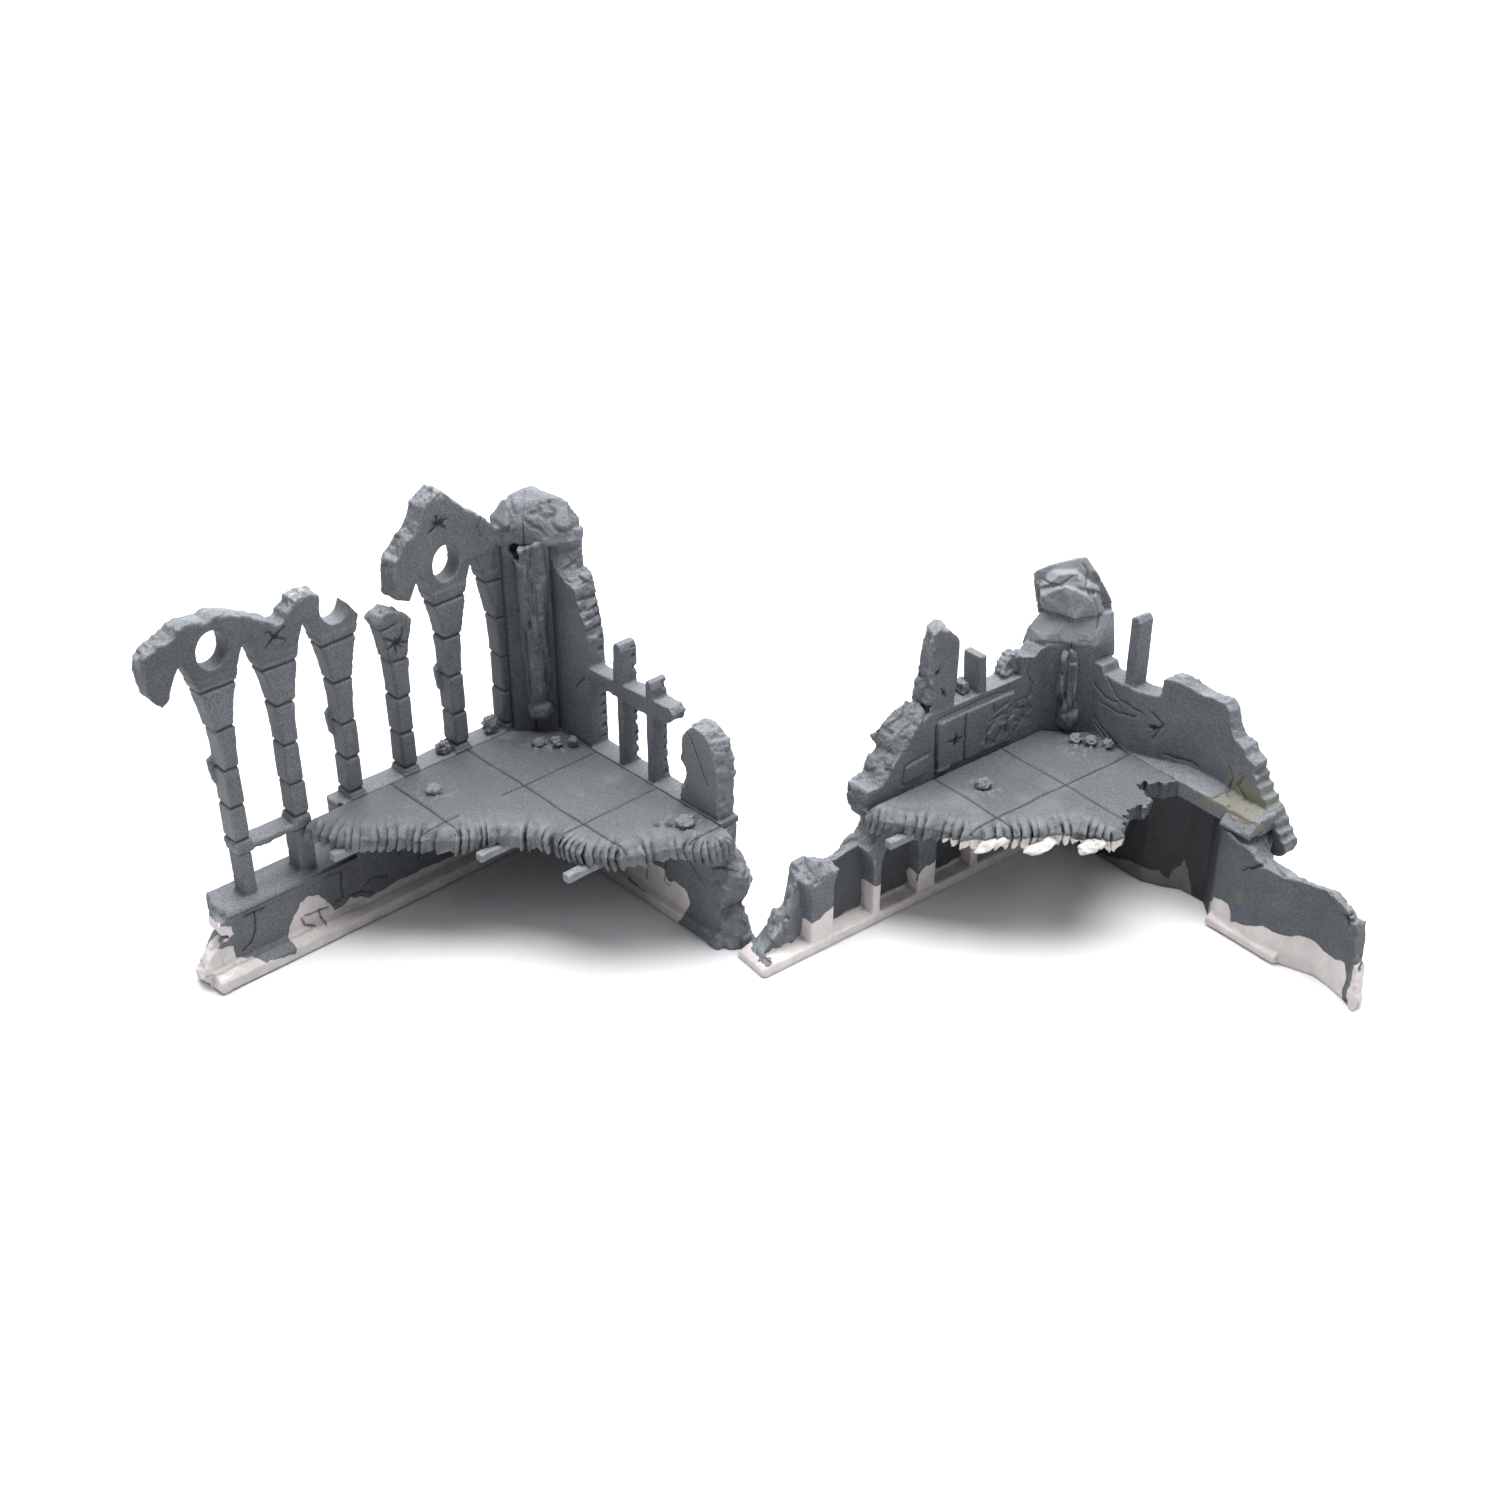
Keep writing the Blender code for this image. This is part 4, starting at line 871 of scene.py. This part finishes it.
def right_side(c):
    """The lower side wall: painted shade in the recess under the floor and over its face, and three bare
    patches along the foot.
    """
    top = (c.y > 126) & (c.nz > 0.2) & (c.z > 30)
    c.broken((top | (c.y > 205)) * fade(c.nz + (c.y > 208), 0.1, 0.5), 9.0, 1.4, 81)
    c.bare_patch(c.x > -18, c.y, [(28, -4), (42, 2), (58, 7), (69, 9), (80, 9), (85, 6), (87, 12), (91, 19),
                                  (95, 15), (98, 3), (100, -4)])
    c.bare_patch(c.x > -12, c.y, [(115, -4), (117, 9), (120, 16), (126, 19), (132, 18), (135, 9), (149, 15),
                                  (155, 18), (162, 18), (177, 22), (184, 20), (189, 18), (196, 18), (203, 21),
                                  (205, 14), (206, -4)])
    c.bare_patch(c.y > 209, c.y, [(209.5, -4), (209.5, 24), (213, 29), (222, 29), (222, -4)])
    face = (c.nx > 0.25) & (c.y > 100)
    # Painted shade: deep in the recess under the floor, and lighter over the rest of the face, least on bare
    # resin.
    recess = fade(122 - c.y, 0, 6) * fade(c.nx + 0.4, 0, 0.3) * (c.z < 62)
    shaded = 0.34 - 0.22 * fade(c.bare, -0.3, 0.3)
    c.darken(np.maximum(0.82 * recess, shaded * face))
    c.crack(face, c.y, c.z, [(137, 44), (145, 50), (150, 55)], 1.1, 1.0)
    c.crack(face, c.y, c.z, [(142, 47), (146, 52), (153, 54)], 0.8, 0.7)
    c.star(face, c.y, c.z, (199, 46), 7.0, 6, seed=3)
    c.crack(face, c.y, c.z, [(127, 38), (131, 26), (142, 19), (150, 17)], 0.6, 0.4, ink=0.3)
    c.crack(face, c.y, c.z, [(160, 50), (166, 52), (172, 47)], 0.8, 0.5, ink=0.5)
    spot = within(c.y, c.z, [(135, 30), (139, 32), (141, 27), (138, 22), (135, 24)])
    c.leave_stain(face, spot)
    end = (c.y > 206) & (c.z < 8)
    c.leave_stain(end, rough(c.points, 6.0, 3, 5) * 2)
    brick_courses(c, (c.nx < -0.4), c.y, c.z, 8)


def right_upper_wall_front(c):
    """The upper front wall: a broken slope and post, panels with their joints, and rough relief."""
    slope = (c.x > 102) & ((c.nz > 0.1) | (c.nx > 0.45)) & (c.z > 66)
    c.broken(slope * 1.0, 8.0, 1.6, 91)
    post_top = (c.z > 145) & (c.x > 80) & (np.abs(c.ny) < 0.8)
    outer_edge = (c.x > 101) & (c.z > 109) & (np.abs(c.ny) < 0.8)
    c.broken((post_top | outer_edge) * 0.9, 6.0, 1.0, 93)
    caps(c)
    rubble = (c.x > 30) & (c.x < 47) & (c.z > 109.2) & (c.y < -3.6)
    c.broken(rubble * 1.0, 6.0, 1.5, 97)
    face = (c.ny > 0.35) & (c.y > -2.5)
    for x in (97.6, 77.5):
        c.crack(face, c.x, c.z, [(x + 0.8, 101), (x, 70)], 1.0, 1.0, 0.25)
    c.star(face, c.x, c.z, (84.5, 87.5), 9, 8, seed=2)
    c.star(face, c.x, c.z, (94, 119), 6, 5, seed=5)
    c.star(face, c.x, c.z, (99, 133), 4, 5, seed=7)
    c.crack(face, c.x, c.z, [(97.5, 104.2), (58, 105.4), (50, 104)], 0.9, 0.6, 0.15, ink=0.55)
    lines = (
        [(121, 73), (120.5, 84), (103, 86)], [(62, 76), (61, 84), (55, 90), (47, 91)],
        [(60, 90), (50, 92), (40, 95), (31, 94)], [(48, 78), (47, 87), (39, 90), (31, 88)],
        [(56, 75), (50, 82), (46, 79)], [(46, 74), (36, 77), (31, 83)],
        [(30, 118), (31, 108), (27, 100), (30, 92)], [(58, 100), (56, 94), (48, 97)])
    for line in lines:
        c.crack(face, c.x, c.z, line, 0.9, 0.8, 0.7, ink=0.6)
    relief = face & (c.x < 66) & (c.x > 26) & (c.z > 72) & (c.z < 98)
    c.push(np.where(relief, 0.7 * facets(c.points, 8.0, 5) * fade(c.z, 72, 76), 0))
    plate = within(c.x, c.z, [(120, 73), (103, 74), (103, 85), (119.5, 83)])
    c.push(np.where(face, 0.7 * fade(plate, 0, 0.8), 0))
    foot = within(c.x, c.z, [(99, 69), (88, 69), (88, 73.5), (99, 73.5)])
    c.push(np.where(face, 0.8 * fade(foot, 0, 0.8), 0))
    brick_courses(c, (c.ny < -0.4) & (c.y < -11), c.x, c.z, 9)


def caps(c):
    """The stacked rocks on the right corner, with a painted highlight on their faces that look up."""
    rock = fade(32 - np.hypot(c.x, c.y), 0, 5) * fade(c.z, 121, 125)
    c.broken(rock, 12.0, 0.3, 101, grit=0.3)
    # Painted highlight on the faces that look up.
    c.lighten(0.5 * rock * fade(c.nz + 0.3 * noise(c.points, 7.0, 5), -0.3, 0.6))
    across = c.across()
    front = (rock > 0.5) & (c.x + c.y > -2)
    for line in ([(-20, 141), (-9, 139.5), (0, 137.6), (9, 138.2)], [(3, 165), (6, 160), (5, 154), (9, 149)],
                 [(9, 152), (11, 146), (14, 139), (13, 132)], [(-17, 156), (-8, 155.5), (-2, 160)]):
        c.crack(front, across, c.z, line, 1.0, 0.8, 0.6, ink=0.5)


def right_upper_wall_side(c):
    """The upper side wall: its stepped broken end, cracks, and the stain by the ledge."""
    steps = (c.y > 60) & (np.abs(c.nx) < 0.8) & (c.z < 122) & (c.z > 46)
    c.broken(steps * 0.75 * ((c.nz > -0.3) | (c.ny > 0.3)), 6.0, 0.9, 111)
    caps(c)
    face = (c.nx > 0.25) & (c.y > 18)
    for line in (
        [(24, 76), (32, 71), (45, 69)], [(22, 80), (30, 75), (40, 71)], [(25, 91), (38, 90), (50, 93)],
        [(28, 108), (36, 99), (53, 97)], [(20, 100), (28, 95), (36, 96)], [(66, 74), (78, 73), (84, 72)],
        [(60, 82), (64, 92), (58, 98)], [(104, 84), (108, 76), (106, 70)], [(114, 82), (112, 74), (118, 70)]):
        c.crack(face, c.y, c.z, line, 0.9, 0.8, 0.6, ink=0.6)
    c.star(face, c.y, c.z, (60, 89), 5.5, 5, seed=9)
    c.crack((c.nz > 0.5) & (c.z < 72), c.x, c.y, [(-26, 108), (1, 107)], 0.8, 0.6, 0.2)
    c.crack((c.nz > 0.5) & (c.z < 72), c.y, c.x, [(50, -0.6), (86, -0.5)], 0.7, 0.5, 0.2, ink=0.5)
    stained = within(c.y, c.z, [(99, 66), (106, 79), (122, 82), (133, 75), (140, 65), (131, 62.5), (114, 65)])
    c.leave_stain((c.x > -24) & (c.nx > -0.3), 0.6 * stained - 2.2 * (c.nz > 0.5))
    brick_courses(c, (c.nx < -0.4), c.y, c.z, 10)


def rod(c):
    """The end of a beam, uneven and a little worn."""
    c.smooth(2, 0.6)
    c.push(0.3 * rough(c.points, 9.0, 3, 7))
    c.edge_wear(0.5, 3)


def filler(c):
    """A lump of filler pressed up under the floor's edge, drawn out along it, with a few pinholes."""
    c.smooth(3, 0.8)
    middle = c.points.mean(axis=0)
    spread = np.array([-math.sin(math.radians(45)), math.cos(math.radians(45)), 0.0])
    offset = c.points - middle
    c.points += np.outer(offset @ spread, spread) * 0.3
    c.points[:, 2] += 4.4 + 1.2 * noise(c.points, 12.0, 3) + 0.15 * (offset @ spread)
    c.renew()
    c.push(1.5 * rough(c.points, 7.0, 3, int(c.node[-1])) - 0.3)
    for k in range(5):
        spot = c.points[(k * 977 + 131) % len(c.points)]
        c.darken(0.8 * fade(0.8 - np.linalg.norm(c.points - spot, axis=1), 0, 0.5))


def loose_stone(c, seed):
    """A small angular chip with softened edges."""
    c.broken(np.ones(len(c.points)), 3.0, 0.7, seed)
    c.smooth(2, 0.5)
    c.dark *= 0.5
    c.push(0.45 * rough(c.points, 2.2, 3, seed))


# ---------------------------------------------------------------- the pair

# What works over each casting, and the size of its faces in mm.
WORK = {
    "left_arcade_wall": (arcade, 0.8),
    "left_upper_side_wall": (left_upper, 0.65),
    "left_lower_front_wall": (left_front, 0.75),
    "left_lower_side_wall": (left_side, 0.7),
    "left_floor_slab": (left_slab, 0.62),
    "right_lower_front_wall": (right_front, 0.7),
    "right_lower_side_wall": (right_side, 0.7),
    "right_upper_front_wall": (right_upper_wall_front, 0.62),
    "right_upper_side_wall": (right_upper_wall_side, 0.62),
    "right_floor_slab": (right_slab, 0.55),
    "left_corner_figure": (lambda c: corner_figure(c, 77.0, 182.4, 3.0, 9.0, (-5.0, 178.5)), 0.4),
    "right_corner_figure": (lambda c: corner_figure(c, 71.0, 120.4, 0.4, 5.8), 0.3),
}


def build_castings():
    for seed, node in enumerate(sorted(frame["nodes"]), 1):
        if node in WORK:
            work, voxel = WORK[node]
            c = Casting(node, voxel)
            if "figure" not in node:
                c.close_corner()
                c.weather(0.16, seed)
                c.edge_wear(0.3, seed)
                c.renew()
            work(c)
            c.done(PAVING if "slab" in node else PRIMED)
        elif "_rod" in node:
            c = Casting(node, 0.45)
            rod(c)
            c.done(ROD)
        elif "filler" in node:
            c = Casting(node, 0.4)
            filler(c)
            c.done(FILLER)
        else:
            c = Casting(node, 0.3)
            loose_stone(c, seed)
            c.done(STONE)


# ---------------------------------------------------------------- stage


def area_light(name, place, target, size, power, colour=(1, 1, 1)):
    data = bpy.data.lights.new(name, "AREA")
    data.shape = "RECTANGLE"
    data.size, data.size_y = size
    data.energy = power
    data.color = colour
    obj = bpy.data.objects.new(name, data)
    bpy.context.scene.collection.objects.link(obj)
    obj.location = place
    aim = np.array(target) - np.array(place)
    obj.rotation_euler = (math.atan2(math.hypot(aim[0], aim[1]), -aim[2]), 0.0, math.atan2(-aim[0], aim[1]))


def build_floor():
    """A pale floor. Past the reach of the lamps it gives off light of its own, so that it stays pale."""
    bpy.ops.mesh.primitive_plane_add(size=8.0, location=(0, 0, -0.0004))
    floor = bpy.context.object
    floor.name = "studio_floor"
    n = Nodes("studio_floor")
    tone = n.mix(n.remap(n.noise(400), 0.3, 0.7), (0.77, 0.77, 0.78), (0.8, 0.8, 0.805))
    n.shade("Base Color", tone)
    n.shade("Roughness", 0.8)
    away = n.add("VectorMath", {0: n.place}, operation="LENGTH").outputs["Value"]
    n.shade("Emission Strength", n.remap(away, 1.1, 2.4, 0.0, 0.85))
    n.shade("Emission Color", BACKDROP)
    floor.data.materials.append(n.material)


def build_world():
    """Soft light from all round, and a pale background wherever the camera looks past the floor."""
    scene = bpy.context.scene
    scene.world = bpy.data.worlds.new("studio")
    scene.world.use_nodes = True
    sky = scene.world.node_tree
    soft = sky.nodes["Background"]
    soft.inputs["Color"].default_value = (0.93, 0.96, 1.0, 1.0)
    soft.inputs["Strength"].default_value = 0.19
    seen = sky.nodes.new("ShaderNodeBackground")
    seen.inputs["Color"].default_value = (*BACKDROP, 1.0)
    chosen = sky.nodes.new("ShaderNodeMixShader")
    sky.links.new(sky.nodes.new("ShaderNodeLightPath").outputs["Is Camera Ray"], chosen.inputs[0])
    sky.links.new(soft.outputs[0], chosen.inputs[1])
    sky.links.new(seen.outputs[0], chosen.inputs[2])
    sky.links.new(chosen.outputs[0], sky.nodes["World Output"].inputs["Surface"])


def build_lights():
    area_light("overhead", (0.05, 0.12, 1.5), (0.02, 0, 0), (1.5, 1.1), 45)
    area_light("left_window", (-1.3, -0.5, 1.1), (0, 0, 0.08), (0.9, 0.9), 4.5, (0.97, 0.98, 1.0))
    area_light("right_window", (1.3, -0.8, 1.1), (0, 0, 0.08), (0.9, 0.9), 5, (0.97, 0.98, 1.0))
    area_light("backdrop_light", (0.0, 2.6, 1.6), (0, 2.2, 0), (4.0, 1.6), 110)


def build_camera():
    scene = bpy.context.scene
    scene.view_settings.view_transform = "Standard"
    camera = bpy.data.objects.new("camera", bpy.data.cameras.new("camera"))
    scene.collection.objects.link(camera)
    camera.data.lens, camera.data.sensor_width = 46.7, 36.0
    camera.location = ORIGIN["left"] + np.array([0.118, -0.938, 0.625])
    camera.rotation_euler = (math.radians(58.42), 0, 0)
    scene.camera = camera


build_castings()
build_floor()
build_world()
build_lights()
build_camera()
